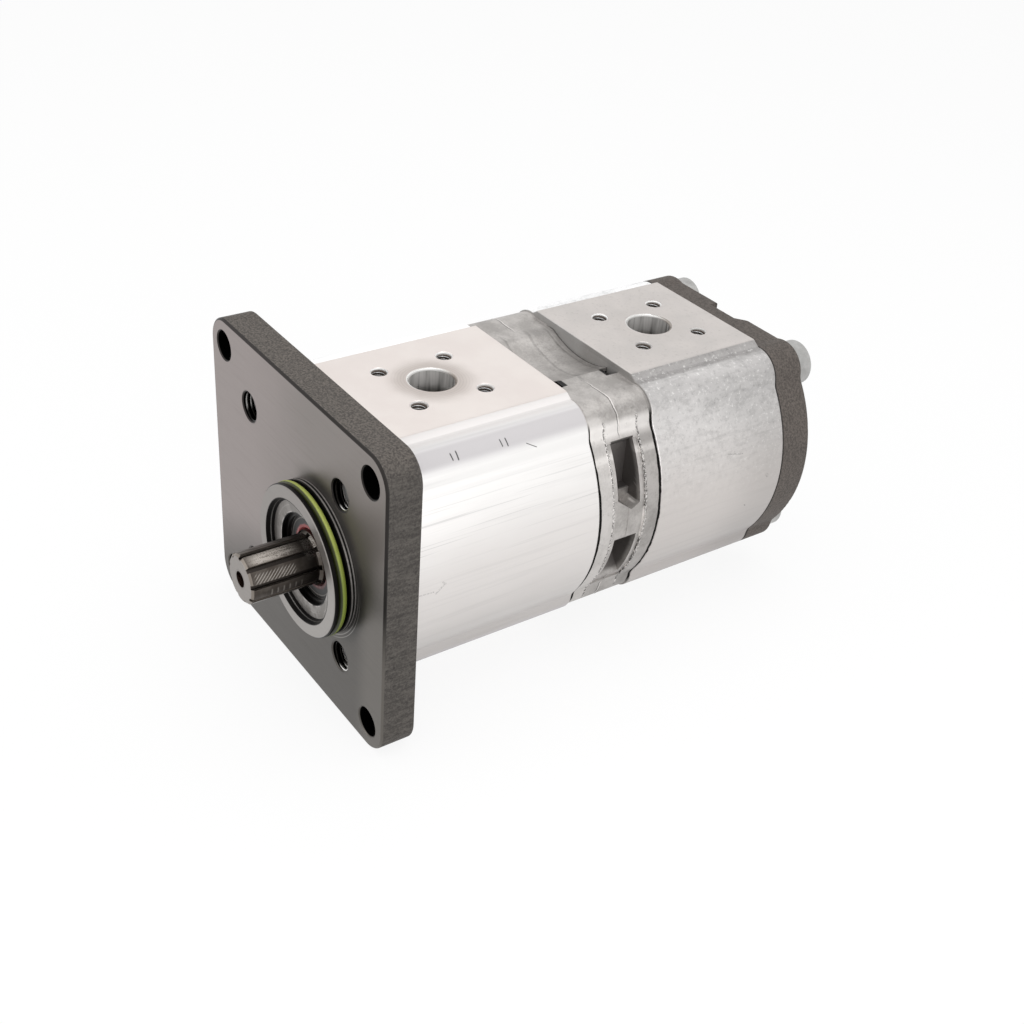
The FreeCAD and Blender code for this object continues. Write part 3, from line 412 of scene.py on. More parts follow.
def casingLook(name, portAlong, shades):
    # alloy casing with ground pads and ports, shared by both stages
    look, graph, place = newLook(name)
    x, y, z = graph.axes(place)
    side = x - middle
    height = abs(z)
    near = side.ramp(-4.0, 4.0)
    pad = height.ramp(padTop - 0.15, padTop + 0.02)
    around = 1.0 - pad
    streaks = graph.noise(graph.stretch(place, (0.55, 0.014, 0.55)), 1.0, 4.0, 0.6)
    lines = graph.noise(graph.stretch(place, (0.9, 0.012, 1.3)), 1.0, 2.0, 0.6)
    patches = graph.noise(graph.stretch(place, (0.05, 0.022, 0.06)), 1.0, 3.0, 0.6)
    fine = graph.noise(place, 2.4, 3.0, 0.6)
    mottle = graph.noise(graph.stretch(place, (1.0, 0.6, 1.0)), 0.42, 5.0, 0.74)
    specks = graph.noise(place, 0.8, 4.0, 0.65)

    # side wall: painted light upwards and painted shade downwards, darker to the rear, with drawing
    # streaks and soft patches
    wall = graph.blend((z + patches * 14.0).ramp(-38.0, 12.0), shades["wallLow"], shades["wall"])
    wall = graph.blend((z + patches * 14.0).ramp(8.0, 38.0), wall, shades["wallHigh"])
    wall = graph.darken(streaks.ramp(0.50, 0.68) * shades["streakDepth"], wall, 0.80)
    crowd = inSpan(z, 9.0, 27.0, 6.0) * 1.2 + patches.ramp(0.50, 0.62) * 0.35
    wall = graph.darken(lines.ramp(0.59, 0.67) * crowd * shades["lineDepth"], wall, 0.54)
    wall = graph.darken(y.ramp(132.0, 164.0) * 0.9, wall, 0.78)

    # the band below the pad as a painted darker reflection, the slope up to it, the far edge as a
    # painted highlight and painted shade at the slope's foot
    band = height.ramp(33.4, 36.8) * height.ramp(40.7, 39.3) * near
    wall = graph.blend(band * shades["bandShare"], wall, shades["band"])
    slope = height.ramp(40.05, 40.3) * around
    wall = graph.blend(slope * near, wall, shades["slope"])
    wall = graph.blend(height.ramp(34.0, 36.0) * (1.0 - near), wall, shades["farHighlight"])
    # painted shade in the crease at the slope's foot
    footShade = nearTo(height, 40.15, 0.45) * abs(side).ramp(28.2, 28.9) * near
    wall = graph.darken(footShade * 0.45, wall, 0.70)

    # a mottled skin, stronger upwards
    share = (z / 60.0 + 0.50).ramp(0.30, 1.05) * shades["mottle"]
    wall = graph.darken(mottle.ramp(0.46, 0.64) * share, wall, 0.84)
    wall = graph.darken(patches.ramp(0.44, 0.60) * z.ramp(20.0, 29.0) * share * 0.8, wall, 0.84)
    wall = graph.darken(specks.ramp(0.56, 0.68) * share * 0.7, wall, 0.72)
    wall = graph.blend(specks.ramp(0.42, 0.34) * share * 0.5, wall, shades["fleck"])

    # ground pads
    top = graph.blend(graph.noise(place, 0.06, 3.0).ramp(0.35, 0.65), shades["pad"], shades["padWarm"])
    top = graph.darken(specks.ramp(0.54, 0.70) * shades["mottle"] * 0.55, top, 0.80)
    top = graph.darken(fine.ramp(0.50, 0.70) * 0.10, top, 0.85)
    color = graph.blend(pad, wall, top)

    # round the port: a stain, fine rings, the edge with a painted highlight on one side, and the banded
    # bore
    ahead = y - portAlong
    radius = graph.distance(side, ahead)
    upper = z.ramp(20.0, 21.0)
    bore = byLevel(upper, portRadius)
    wander = graph.noise(place, 0.16, 2.0)
    halo = (radius + wander * 3.0).ramp(18.5, 10.4) * upper * pad
    color = graph.blend(halo * shades["stain"] * 0.55, color, shades["halo"])
    rings = (radius * 6.3 + wander * 1.5).maths("SINE").ramp(0.1, 1.0)
    rings = rings * (radius + wander).ramp(16.0, 10.0) * upper * pad
    color = graph.darken(rings * shades["stain"] * 0.30, color, 0.72)
    edge = (radius - bore).ramp(0.84, 0.72) * height.ramp(padTop - 0.9, padTop - 0.7)
    inBore = (radius - bore).ramp(0.06, 0.02) * height.ramp(padTop - 0.55, padTop - 0.7)
    inBore = inBore * height.ramp(15.0, 16.0)
    turn = ahead.maths("ARCTAN2", side)
    unrolled = graph.add("ShaderNodeCombineXYZ", None, {0: turn * 1.7, 1: z * 0.02})
    stripes = graph.noise(unrolled, 1.0, 3.0, 0.6)
    wallTone = graph.blend(stripes.ramp(0.36, 0.62), shades["boreDark"], shades["boreLight"])
    # the port's edge painted brighter on one side as a highlight
    rim = graph.blend((side + ahead * 0.4).ramp(5.0, -4.0), shades["halo"], shades["edge"])
    color = graph.blend(edge, color, rim)
    color = graph.blend(inBore, color, wallTone)

    # port screw holes
    step = byLevel(upper, screwSteps)
    screws = graph.distance(abs(side) - step, abs(ahead) - step)
    inScrew = screws.ramp(2.62, 2.52) * height.ramp(padTop, padTop - 0.3)
    color = graph.darken(screws.ramp(3.1, 2.7) * pad * 0.5, color, 0.60)
    color = graph.blend(inScrew, color, shades["screw"])
    glint = inSpan(screws, 2.25, 2.95, 0.15) * inSpan(height, padTop - 0.8, padTop + 0.05, 0.1)
    glint = glint * ahead.ramp(-30.0, 10.0)
    color = graph.blend(glint * 0.55, color, shades["edge"])

    # the joint shows as an uneven black line on the round side, a dark gap with painted shade in its
    # step
    start, end = shades["span"]
    ragged = graph.noise(place, 0.35, 3.0) * 0.5
    wider = z.ramp(-22.0, -34.0) * shades["mottle"] * 0.5
    frontGap = (y - start + ragged * shades["gapFront"]).ramp(0.30, 0.22)
    rearGap = (y - end + wider - ragged * shades["gapRear"]).ramp(-0.30, -0.22)
    gap = anyOf(frontGap, rearGap) * height.ramp(35.5, 33.0)
    color = graph.blend(gap * 0.9, color, shades["gap"])
    # painted shade on the end faces seen beside the joint
    endFaceShade = anyOf(y.ramp(start + 0.36, start + 0.05), y.ramp(end - 0.36, end - 0.05))
    endFaceShade = endFaceShade * inSpan(height, 33.0, padTop - 0.1, 0.2)
    color = graph.blend(endFaceShade * 0.85, color, shades["endFaceShade"])

    # handling marks: dark strokes and softer scuffs, on the seen side only
    seenSide = side.ramp(20.0, 24.0)
    marks = anyOf(*(strokeMask(y, z, *stroke) for stroke in shades["strokes"])) * seenSide
    color = graph.darken(marks * 0.95, color, 0.10)
    scuffs = anyOf(*(strokeMask(y, z, *stroke) for stroke in shades["scuffs"])) * seenSide
    color = graph.darken(scuffs * fine.ramp(0.42, 0.58) * 0.6, color, 0.40)

    bumps = streaks * around * 0.4 + fine * 0.25 + mottle * shades["mottle"] * 0.5
    relief = graph.bump(bumps, 0.05, 0.5)
    shoulder = height.ramp(34.0, 37.5) * around
    shine = shades["roughness"] + streaks * 0.08 - edge * 0.18 + inScrew * 0.3 + shoulder * 0.30
    metal = shades["metal"] - shoulder * 0.55
    return closeLook(look, graph, color, shine, metal, relief)


def centerLook():
    # cast alloy between the stages, with its seam, windows and notches
    shades = {
        "cast": tone(0.735, 0.719, 0.706),
        "castLow": tone(0.630, 0.615, 0.602),
        "bright": tone(0.930, 0.915, 0.902),
        "deep": tone(0.430, 0.414, 0.405),
        "deepLight": tone(0.660, 0.648, 0.636),
        "black": tone(0.070, 0.063, 0.060),
    }
    start, end = centerSpan
    front, back = 92.8, 102.0  # the walls of its windows
    look, graph, place = newLook("centerCasting")
    x, y, z = graph.axes(place)
    side = x - middle
    across = abs(side)
    height = abs(z)
    radius = graph.distance(side, z)
    cloud = graph.noise(place, 0.09, 4.0, 0.62)
    grain = graph.noise(place, 1.3, 5.0, 0.65)
    ragged = graph.noise(place, 0.30, 3.0)
    color = graph.blend((cloud * 0.7 + grain * 0.3).ramp(0.38, 0.60), shades["castLow"], shades["cast"])

    # the round boss catches the light in two bands of painted highlight, with painted shade between and
    # above them, and is darker towards the bottom
    onBoss = side.ramp(34.0, 37.0) * (1.0 - height.ramp(39.0, 42.0))
    shimmer = 0.75 + ragged * 0.5
    color = graph.blend(nearTo(z, 31.6, 3.8) * onBoss * shimmer * 0.80, color, shades["bright"])
    color = graph.blend(nearTo(z, 23.8, 1.4) * onBoss * shimmer * 0.40, color, shades["bright"])
    color = graph.darken(nearTo(z, 26.6, 1.9) * onBoss * 0.55, color, 0.60)
    color = graph.darken(nearTo(z, 37.4, 1.6) * onBoss * 0.35, color, 0.70)
    color = graph.darken(z.ramp(-8.0, -34.0) * 0.55, color, 0.72)

    # flow lines in the flats, a strip of painted shade beside the rear body and a band of painted light
    # beside the front one
    bent = graph.noise(graph.stretch(place, (0.022, 0.070, 0.03)), 1.0, 2.0) * 11.0
    flat = height.ramp(33.0, 36.0) * across.ramp(21.0, 18.0)
    flow = (side * 0.02 + y * 0.75 + bent * 0.6).maths("SINE").ramp(0.86, 1.0)
    color = graph.darken(flow * flat * 0.45, color, 0.50)
    shadeStrip = (y + bent * 0.4 - side * 0.05).ramp(end - 7.5, end - 5.5)
    color = graph.darken(shadeStrip * flat * 0.40, color, 0.62)
    lip = (y + bent * 0.2).ramp(start + 5.0, start + 2.5)
    color = graph.blend(lip * flat * 0.25, color, shades["bright"])

    # parting line over the bosses as a painted shade line beside a painted highlight; broken lines along
    # the rims as painted shade and highlights of the flash
    wobble = (ragged - 0.5) * 1.2
    uneven = y + wobble
    halfway = (start + end) / 2
    over = radius.ramp(44.0, 46.0) * height.ramp(28.0, 30.0)
    color = graph.darken(nearTo(uneven, halfway - 0.9, 0.30) * over * 0.8, color, 0.30)
    color = graph.blend(nearTo(uneven, halfway - 0.5, 0.30) * over * 0.6, color, shades["bright"])
    crumbs = graph.noise(place, 1.1, 3.0, 0.7)
    flank = across.ramp(36.0, 38.0)
    color = graph.blend(uneven.ramp(start + 7.4, start + 5.0) * flank * 0.30, color, shades["bright"])
    color = graph.darken(uneven.ramp(end - 7.4, end - 5.0) * flank * 0.30, color, 0.60)
    onSide = flank * height.ramp(36.0, 33.0)
    rim = anyOf(*(nearTo(y + wobble * 0.5, line, 0.55) for line in (start + 6.2, end - 6.2))) * onSide
    color = graph.darken(rim * crumbs.ramp(0.46, 0.54) * 0.85, color, 0.16)
    color = graph.blend(rim * crumbs.ramp(0.50, 0.42) * 0.75, color, shades["bright"])
    lump = nearTo(uneven, start + 6.6, 1.1) * inSpan(z, -5.0, 5.0, 2.0) * crumbs.ramp(0.52, 0.44)
    seamEnd = nearTo(y + wobble * 0.4, end - 6.6, 0.6) * inSpan(z, -8.0, 4.0, 1.0)
    color = graph.blend(anyOf(lump, seamEnd) * onSide * 0.85, color, shades["bright"])

    # windows painted dark inside as shade, with painted light on the front wall and below the brink, a
    # painted highlight on the saddle's crest, and the web's slots
    inWindow = radius.ramp(48.3, 46.4) * across.ramp(33.0, 35.0) * height.ramp(30.6, 30.1)
    inWindow = inWindow * inSpan(y, front - 0.2, back + 0.2, 0.1)
    saddle = side.ramp(41.0, 41.7) * inSpan(z, 2.0, 13.4, 0.5) * y.ramp(back - 0.1, back - 0.3) * 0.85
    color = graph.blend(inWindow * (1.0 - saddle), color, shades["deep"])
    color = graph.blend(inWindow * y.ramp(front + 0.2, front + 0.04) * 0.8, color, shades["deepLight"])
    brink = nearTo(z, 30.2, 4.0) * y.ramp(front + 4.2, front + 0.2)
    color = graph.blend(inWindow * brink * 0.7, color, shades["castLow"])
    crest = nearTo(z + (y - front) * 0.93, 13.6, 0.8) * inWindow * side.ramp(43.0, 45.0)
    color = graph.blend(crest * 0.8, color, shades["bright"])
    slots = (z * 3.6 + side * 1.6).maths("SINE").ramp(0.35, 0.9) * inSpan(z, 11.0, 20.0, 1.0)
    slots = slots * y.ramp(back - 0.1, back - 0.04) * side.ramp(43.5, 45.5)
    color = graph.blend(inWindow * slots * 0.7, color, shades["cast"])

    # black pry notches and their ends on the seen side, painted black as shade, and the joints, dark
    # gaps with painted shade in their steps
    notch = inSpan(across, 14.0, 20.5, 0.1) * height.ramp(37.45, 37.3) * height.ramp(32.2, 32.6)
    notch = notch * anyOf(y.ramp(start + 3.8, start + 3.6), y.ramp(end - 3.8, end - 3.6))
    frontBrow = inSpan(across, 14.6, 19.8, 0.15) * y.ramp(start + 5.7, start + 5.3)
    rearBrow = inSpan(across, 15.0, 20.2, 0.15) * y.ramp(end - 4.9, end - 4.6)
    brow = anyOf(frontBrow * height.ramp(35.0, 36.0), rearBrow * height.ramp(33.0, 34.0))
    brow = brow * side.ramp(0.0, 1.0)
    color = graph.blend(anyOf(notch, brow), color, shades["black"])
    opening = z.ramp(26.0, 4.0) * 0.45
    frontLine = (y + wobble * 0.45 - opening).ramp(start + 0.95, start + 0.75)
    rearLine = (y + wobble * 0.45).ramp(end - 0.90, end - 0.70)
    joint = anyOf(frontLine, rearLine)
    color = graph.blend(joint * onSide, color, shades["black"])
    # painted shade on the flats beside the rear body
    color = graph.darken(y.ramp(end - 0.75, end - 0.35) * flat * 0.8, color, 0.25)
    # painted shade inside the bolt holes
    inHole = boltMask(graph, x, z, boltAcross, boltUp, boltHole - 0.3)
    color = graph.darken(inHole, color, 0.3)
    grime = graph.noise(place, 0.7, 4.0, 0.6).ramp(0.58, 0.72)
    color = graph.darken(grime * 0.40, color, 0.55)
    relief = graph.bump(grain * 0.7 + cloud * 0.9 - flow * flat * 0.3 + rim * crumbs * 1.6, 0.14, 0.65)
    shine = 0.38 + grain * 0.14 + notch * 0.4 + joint * 0.3
    return closeLook(look, graph, color, shine, 0.80, relief)


def coverLook():
    # rough dark iron with a black line at the joint
    shades = {"light": tone(0.385, 0.356, 0.335), "dark": tone(0.265, 0.242, 0.226)}
    look, graph, place = newLook("coverIron")
    y = graph.axes(place)[1]
    grain = graph.noise(place, 1.3, 5.0, 0.68)
    cloud = graph.noise(place, 0.08, 3.0)
    color = graph.blend(grain.ramp(0.36, 0.64), shades["dark"], shades["light"])
    color = graph.darken(cloud.ramp(0.45, 0.70) * 0.35, color, 0.75)
    color = graph.darken(y.ramp(rearSpan[1] + 0.45, rearSpan[1] + 0.3) * 0.85, color, 0.20)
    relief = graph.bump(grain + cloud * 0.5, 0.20, 0.75)
    return closeLook(look, graph, color, 0.62 + grain * 0.16, 0.2, relief)


def steelLook(name, light, dark, roughness, metal=1.0, scale=0.6):
    # plain steel with soft cloudiness and a fine grain
    look, graph, place = newLook(name)
    cloud = graph.noise(place, scale * 0.3, 3.0, 0.6)
    grain = graph.noise(place, scale * 6.0, 3.0, 0.6)
    color = graph.blend((cloud * 0.7 + grain * 0.3).ramp(0.35, 0.65), dark, light)
    relief = graph.bump(grain, 0.02, 0.4)
    return closeLook(look, graph, color, roughness + grain * 0.08, metal, relief)


def threadLook():
    # lit at the right and the foot of the right-hand holes, faintly at both sides of the left ones
    shades = {"light": tone(0.86, 0.85, 0.84), "dark": tone(0.09, 0.085, 0.08)}
    look, graph, place = newLook("threadSteel")
    x, z = graph.axes(place)[::2]
    right = (x - middle).ramp(-1.0, 1.0)
    across = abs(x - middle) - boltAcross
    below = z.ramp(1.0, -1.0) * 2.0 - 1.0  # 1 in the lower holes, -1 in the upper ones
    lit = (across + below * (abs(z) - boltUp) * 0.5).ramp(0.2, 3.4)
    lit = lit * right + abs(across).ramp(3.2, 5.0) * (1.0 - right) * 0.5
    color = graph.blend(lit, shades["dark"], shades["light"])
    return closeLook(look, graph, color, 0.25, 1.0)


def shaftLook():
    # splined end: dark lands, one of them with a painted highlight, tool marks on two others, and
    # grooves painted dark as shade
    shades = {
        "land": tone(0.345, 0.322, 0.302),
        "landWarm": tone(0.292, 0.268, 0.248),
        "polishAndHighlight": tone(0.620, 0.598, 0.572),
        "groove": tone(0.210, 0.194, 0.182),
        "flank": tone(0.520, 0.490, 0.460),
        "end": tone(0.560, 0.538, 0.520),
        "center": tone(0.300, 0.225, 0.190),
        "mark": tone(0.760, 0.740, 0.715),
    }
    tip = -26.0  # the free end
    hatchStep, tickStep = 1.25, 2.0  # between tool marks
    look, graph, place = newLook("shaftSteel")
    x, y, z = graph.axes(place)
    radius = graph.distance(x, z)
    turn = z.maths("ARCTAN2", x)
    degrees = turn * (180.0 / math.pi)
    along = graph.noise(graph.stretch(place, (1.1, 0.07, 1.1)), 1.0, 4.0, 0.65)
    cloud = graph.noise(place, 0.25, 3.0)
    color = graph.blend(cloud.ramp(0.42, 0.62), shades["landWarm"], shades["land"])
    shaft = radius.ramp(8.6, 8.4) * y.ramp(-3.5, -4.2)
    knurl = graph.noise(place, 2.6, 2.0, 0.7)
    # painted highlight on the land at about 70 degrees, and a fainter one near 108
    lit = inSpan(degrees, 58.0, 84.0, 3.0) * (along * 0.5 + knurl * 0.5).ramp(0.40, 0.54)
    lit = lit * inSpan(y, -23.5, -9.5, 3.0)
    color = graph.blend(lit * shaft * 0.95, color, shades["polishAndHighlight"])
    faint = nearTo(degrees, 108.0, 12.0) * along.ramp(0.45, 0.60)
    color = graph.blend(faint * shaft * 0.5, color, shades["polishAndHighlight"])
    hatch = ((y - turn * 9.0) * (2.0 * math.pi / hatchStep)).maths("SINE").ramp(0.25, 0.75)
    hatch = hatch * inSpan(degrees, 15.0, 37.0, 4.0) * inSpan(y, -24.4, -11.2, 0.6) * 0.40
    ticks = (y * (2.0 * math.pi / tickStep)).maths("SINE").ramp(0.55, 0.9)
    ticks = ticks * inSpan(degrees, -22.0, -6.0, 3.0) * inSpan(y, -21.0, -9.0, 0.6) * 0.40
    marks = anyOf(hatch, ticks) * radius.ramp(7.8, 8.1)
    color = graph.darken(inSpan(degrees, 12.0, 40.0, 4.0) * shaft * 0.6, color, 0.70)
    color = graph.blend(marks * 0.8, color, shades["mark"])
    color = graph.blend(inSpan(radius, 7.3, 8.05, 0.1) * shaft, color, shades["flank"])
    # the grooves' floors painted dark as shade
    groove = radius.ramp(7.6, 7.2) * radius.ramp(6.6, 6.9) * y.ramp(tip, tip + 0.4)
    color = graph.blend(groove * shaft, color, shades["groove"])
    # painted highlight on the collar
    collar = inSpan(y, -6.6, -2.6, 0.4) * inSpan(degrees, 40.0, 95.0, 12.0) * knurl.ramp(0.40, 0.56)
    color = graph.blend(collar * 0.8, color, shades["polishAndHighlight"])
    color = graph.blend(y.ramp(tip + 0.05, tip - 0.05), color, shades["end"])
    color = graph.blend(radius.ramp(2.75, 2.6) * y.ramp(-19.0, -21.0), color, shades["center"])
    color = graph.darken(nearTo(radius, 3.0, 0.5) * y.ramp(tip + 0.1, tip - 0.05) * 0.4, color, 0.6)
    relief = graph.bump(along * 0.5 - marks * 0.9, 0.05, 0.6)
    return closeLook(look, graph, color, 0.28 + along * 0.14, 0.95, relief)


def ringLook():
    # the O-ring painted lighter on top and darker towards its lower part as painted shade, with painted
    # shade at its front and back
    shades = {
        "light": tone(0.640, 0.675, 0.345),
        "mid": tone(0.450, 0.500, 0.195),
        "low": tone(0.375, 0.405, 0.195),
    }
    look, graph, place = newLook("ringRubber")
    y, z = graph.axes(place)[1:]
    cloud = graph.noise(place, 0.35, 3.0)
    color = graph.blend((z + cloud * 12.0).ramp(10.0, 30.0), shades["mid"], shades["light"])
    color = graph.blend((z + cloud * 12.0).ramp(2.0, -16.0), color, shades["low"])
    shaded = anyOf(y.ramp(-4.50, -4.90), y.ramp(-3.40, -3.15))
    color = graph.darken(shaded, color, 0.10)
    relief = graph.bump(graph.noise(place, 5.0, 2.0), 0.02, 0.3)
    return closeLook(look, graph, color, 0.42 + cloud * 0.1, 0.0, relief, 0.35)


def sealLook():
    # the oil seal's face: red only near the shaft, fine light rings further out
    shades = {
        "red": tone(0.600, 0.240, 0.240),
        "pale": tone(0.830, 0.600, 0.600),
        "face": tone(0.070, 0.062, 0.058),
        "ring": tone(0.520, 0.500, 0.480),
    }
    look, graph, place = newLook("sealRubber")
    x, z = graph.axes(place)[::2]
    radius = graph.distance(x, z)
    cloud = graph.noise(place, 0.5, 3.0)
    red = graph.blend(cloud.ramp(0.50, 0.64), shades["red"], shades["pale"])
    red = graph.darken(z.ramp(6.0, 0.0) * 0.9, red, 0.20)
    color = graph.blend((radius + cloud).ramp(10.6, 11.4), red, shades["face"])
    rings = anyOf(nearTo(radius, 12.6, 0.22), nearTo(radius, 13.7, 0.20))
    color = graph.blend(rings * 0.7, color, shades["ring"])
    relief = graph.bump(cloud, 0.05, 0.4)
    return closeLook(look, graph, color, 0.34 + cloud * 0.12, 0.0, relief)


frontShades = {
    "wallHigh": tone(0.950, 0.944, 0.938),
    "wall": tone(0.880, 0.864, 0.854),
    "wallLow": tone(0.715, 0.698, 0.688),
    "band": tone(0.735, 0.722, 0.728),
    "bandShare": 0.9,
    "slope": tone(0.880, 0.866, 0.860),
    "farHighlight": tone(0.985, 0.985, 0.985),
    "fleck": tone(0.96, 0.95, 0.94),
    "endFaceShade": tone(0.700, 0.685, 0.672),
    "gap": tone(0.10, 0.09, 0.085),
    "pad": tone(0.905, 0.875, 0.856),
    "padWarm": tone(0.890, 0.856, 0.838),
    "edge": tone(0.95, 0.945, 0.935),
    "halo": tone(0.640, 0.600, 0.570),
    "boreLight": tone(0.800, 0.790, 0.780),
    "boreDark": tone(0.430, 0.420, 0.410),
    "screw": tone(0.430, 0.375, 0.335),
    "streakDepth": 0.26,
    "lineDepth": 0.30,
    "mottle": 0.0,
    "stain": 1.0,
    "roughness": 0.30,
    "metal": 0.85,
    "span": frontSpan,
    "gapFront": 0.2,
    "gapRear": 1.0,
    "strokes": [
        ((33.87, 38.32), (34.17, 36.46), 0.30),
        ((35.96, 38.48), (36.02, 36.21), 0.34),
        ((51.76, 38.26), (52.08, 36.33), 0.28),
        ((53.78, 38.24), (54.01, 36.07), 0.30),
        ((60.43, 35.66), (64.11, 33.69), 0.17),
    ],
    "scuffs": [
        ((21.8, -0.8), (23.7, 0.8), 0.5),
        ((23.6, 0.7), (25.6, 2.2), 0.45),
        ((25.5, 2.1), (24.2, 2.9), 0.4),
        ((14.2, 0.7), (21.4, 0.3), 0.3),
    ],
}
rearShades = {
    "wallHigh": tone(0.822, 0.812, 0.806),
    "wall": tone(0.806, 0.786, 0.773),
    "wallLow": tone(0.700, 0.680, 0.670),
    "band": tone(0.690, 0.680, 0.676),
    "bandShare": 0.5,
    "slope": tone(0.640, 0.629, 0.623),
    "farHighlight": tone(0.985, 0.985, 0.985),
    "fleck": tone(0.900, 0.893, 0.885),
    "endFaceShade": tone(0.560, 0.548, 0.536),
    "gap": tone(0.10, 0.09, 0.085),
    "pad": tone(0.800, 0.777, 0.762),
    "padWarm": tone(0.772, 0.752, 0.738),
    "edge": tone(0.90, 0.895, 0.885),
    "halo": tone(0.600, 0.570, 0.545),
    "boreLight": tone(0.760, 0.750, 0.740),
    "boreDark": tone(0.370, 0.360, 0.350),
    "screw": tone(0.400, 0.350, 0.315),
    "streakDepth": 0.18,
    "lineDepth": 0.12,
    "mottle": 1.0,
    "stain": 0.15,
    "roughness": 0.34,
    "metal": 0.8,
    "span": rearSpan,
    "gapFront": 1.0,
    "gapRear": 0.6,
    "strokes": [((151.4, -9.6), (152.3, -10.1), 0.18)],
    "scuffs": [((158.9, 1.9), (159.8, 0.1), 0.9), ((140.0, 14.0), (147.0, 12.4), 0.4)],
}
looks = {
    "flange_iron": flangeLook(),
    "front_casting": casingLook("frontCasing", frontPort, frontShades),
    "rear_casting": casingLook("rearCasing", rearPort, rearShades),
    "center_casting": centerLook(),
    "cover_iron": coverLook(),
    "gear_steel": shaftLook(),
    "bolt_zinc": steelLook("boltZinc", tone(0.715, 0.712, 0.705), tone(0.630, 0.628, 0.620), 0.38, 0.8),
    "dowel_steel": steelLook("dowelSteel", tone(0.70, 0.70, 0.70), tone(0.60, 0.60, 0.60), 0.22),
    "spring_steel": steelLook("springSteel", tone(0.18, 0.172, 0.165), tone(0.08, 0.076, 0.072), 0.34),
    "block_alloy": steelLook("blockAlloy", tone(0.80, 0.80, 0.79), tone(0.72, 0.72, 0.71), 0.30),
    "bush_bronze": steelLook("bushBronze", tone(0.74, 0.58, 0.36), tone(0.62, 0.47, 0.28), 0.30),
    "o_ring_rubber": ringLook(),
    "seal_rubber": sealLook(),
}
extraLooks = {
    "threads": threadLook(),
    "flash": steelLook("castFlash", tone(0.86, 0.85, 0.84), tone(0.62, 0.61, 0.60), 0.36, 0.85, 2.0),
}
for member in frame["record"]["subparts"]:
    mesh = frame["nodes"][member["node"]].data
    mesh.materials.clear()
    mesh.materials.append(looks[member["material_slot"]])
print("finishes made:", len(looks))


def outerEdge(edge):
    # not the rim of a bolt hole
    for vert in edge.verts:
        for across, up in boltSpots:
            if math.hypot(vert.co.x / mm - across, vert.co.z / mm - up) < boltHole:
                return False
    return True


def atPlanes(places):
    # picks the edges that lie in these planes across the shaft
    def chosen(edge):
        for place in places:
            if all(abs(vert.co.y / mm - place) < onPlane for vert in edge.verts):
                return outerEdge(edge)
        return False

    return chosen


def centerRim(edge):
    # picks the centre casting's outer edges
    spot = sum((vert.co for vert in edge.verts), Vector()) / 2
    far = math.hypot(spot.x / mm - middle, spot.z / mm) > coreRadius
    return far and outerEdge(edge)


def easedCopy(node, name, ease, chosen, crease):
    # the CAD node's triangles merged, its chosen edges rounded, its curved faces shaded smooth
    mesh = frame["nodes"][node].data.copy()
    mesh.name = name
    work = bmesh.new()
    work.from_mesh(mesh)
    bmesh.ops.remove_doubles(work, verts=work.verts[:], dist=mergeWithin)
    flatAngle, sharpAngle = math.radians(0.4), math.radians(crease)
    bmesh.ops.dissolve_limit(work, angle_limit=flatAngle, verts=work.verts[:], edges=work.edges[:])
    weight = work.edges.layers.float.new("bevel_weight_edge")
    for edge in work.edges:
        if len(edge.link_faces) == 2 and edge.calc_face_angle(0.0) > sharpAngle and chosen(edge):
            edge[weight] = 1.0
    for face in work.faces:
        face.smooth = True
    work.to_mesh(mesh)
    work.free()
    mesh.set_sharp_from_angle(angle=sharpAngle)
    rough = bpy.data.objects.new(name, mesh)
    addToScene(rough)
    bevel = rough.modifiers.new("ease", "BEVEL")
    bevel.limit_method = "WEIGHT"
    bevel.width = ease * mm
    bevel.segments = 2
    bevel.use_clamp_overlap = True
    shade = rough.modifiers.new("shade", "WEIGHTED_NORMAL")
    shade.keep_sharp = True
    shade.weight = 60
    return bake(rough, name)


def bake(source, name):
    # the evaluated result as a plain mesh with no modifiers
    graph = bpy.context.evaluated_depsgraph_get()
    done = source.evaluated_get(graph)
    mesh = bpy.data.meshes.new_from_object(done, preserve_all_data_layers=True, depsgraph=graph)
    bpy.data.objects.remove(source)
    mesh.name = name
    piece = bpy.data.objects.new(name, mesh)
    addToScene(piece)
    return piece


def seat(piece, body, slotName, *nodes, look=None):
    # its look is the slot's, unless another one is given
    piece.data.materials.clear()
    piece.data.materials.append(looks[slotName] if look is None else look)
    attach(piece, body)
    if nodes:
        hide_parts(*nodes)


def ends(node):
    # where a node starts and ends along the shaft, in mm
    low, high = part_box(node)
    return low.y / mm, high.y / mm


# the main castings are copies with eased edges; ease in mm, crease in degrees
castingSet = {
    "frontCasingShell": {
        "node": "front_body",
        "slot": "front_casting",
        "edges": atPlanes(ends("front_body")),
        "ease": 0.35,
        "crease": 30.0,
    },
    "rearCasingShell": {
        "node": "rear_body",
        "slot": "rear_casting",
        "edges": atPlanes(ends("rear_body")),
        "ease": 0.35,
        "crease": 30.0,
    },
    "rearCoverPlate": {
        "node": "rear_cover",
        "slot": "cover_iron",
        "edges": atPlanes(ends("rear_cover")[:1]),
        "ease": 0.35,
        "crease": 30.0,
    },
    "centerCastingPiece": {
        "node": "center_section",
        "slot": "center_casting",
        "edges": centerRim,
        "ease": 0.45,
        "crease": 24.0,
    },
}
for name, casting in castingSet.items():
    node = casting["node"]
    piece = easedCopy(node, name, casting["ease"], casting["edges"], casting["crease"])
    seat(piece, "housing", casting["slot"], node)
print("castings eased:", len(castingSet))


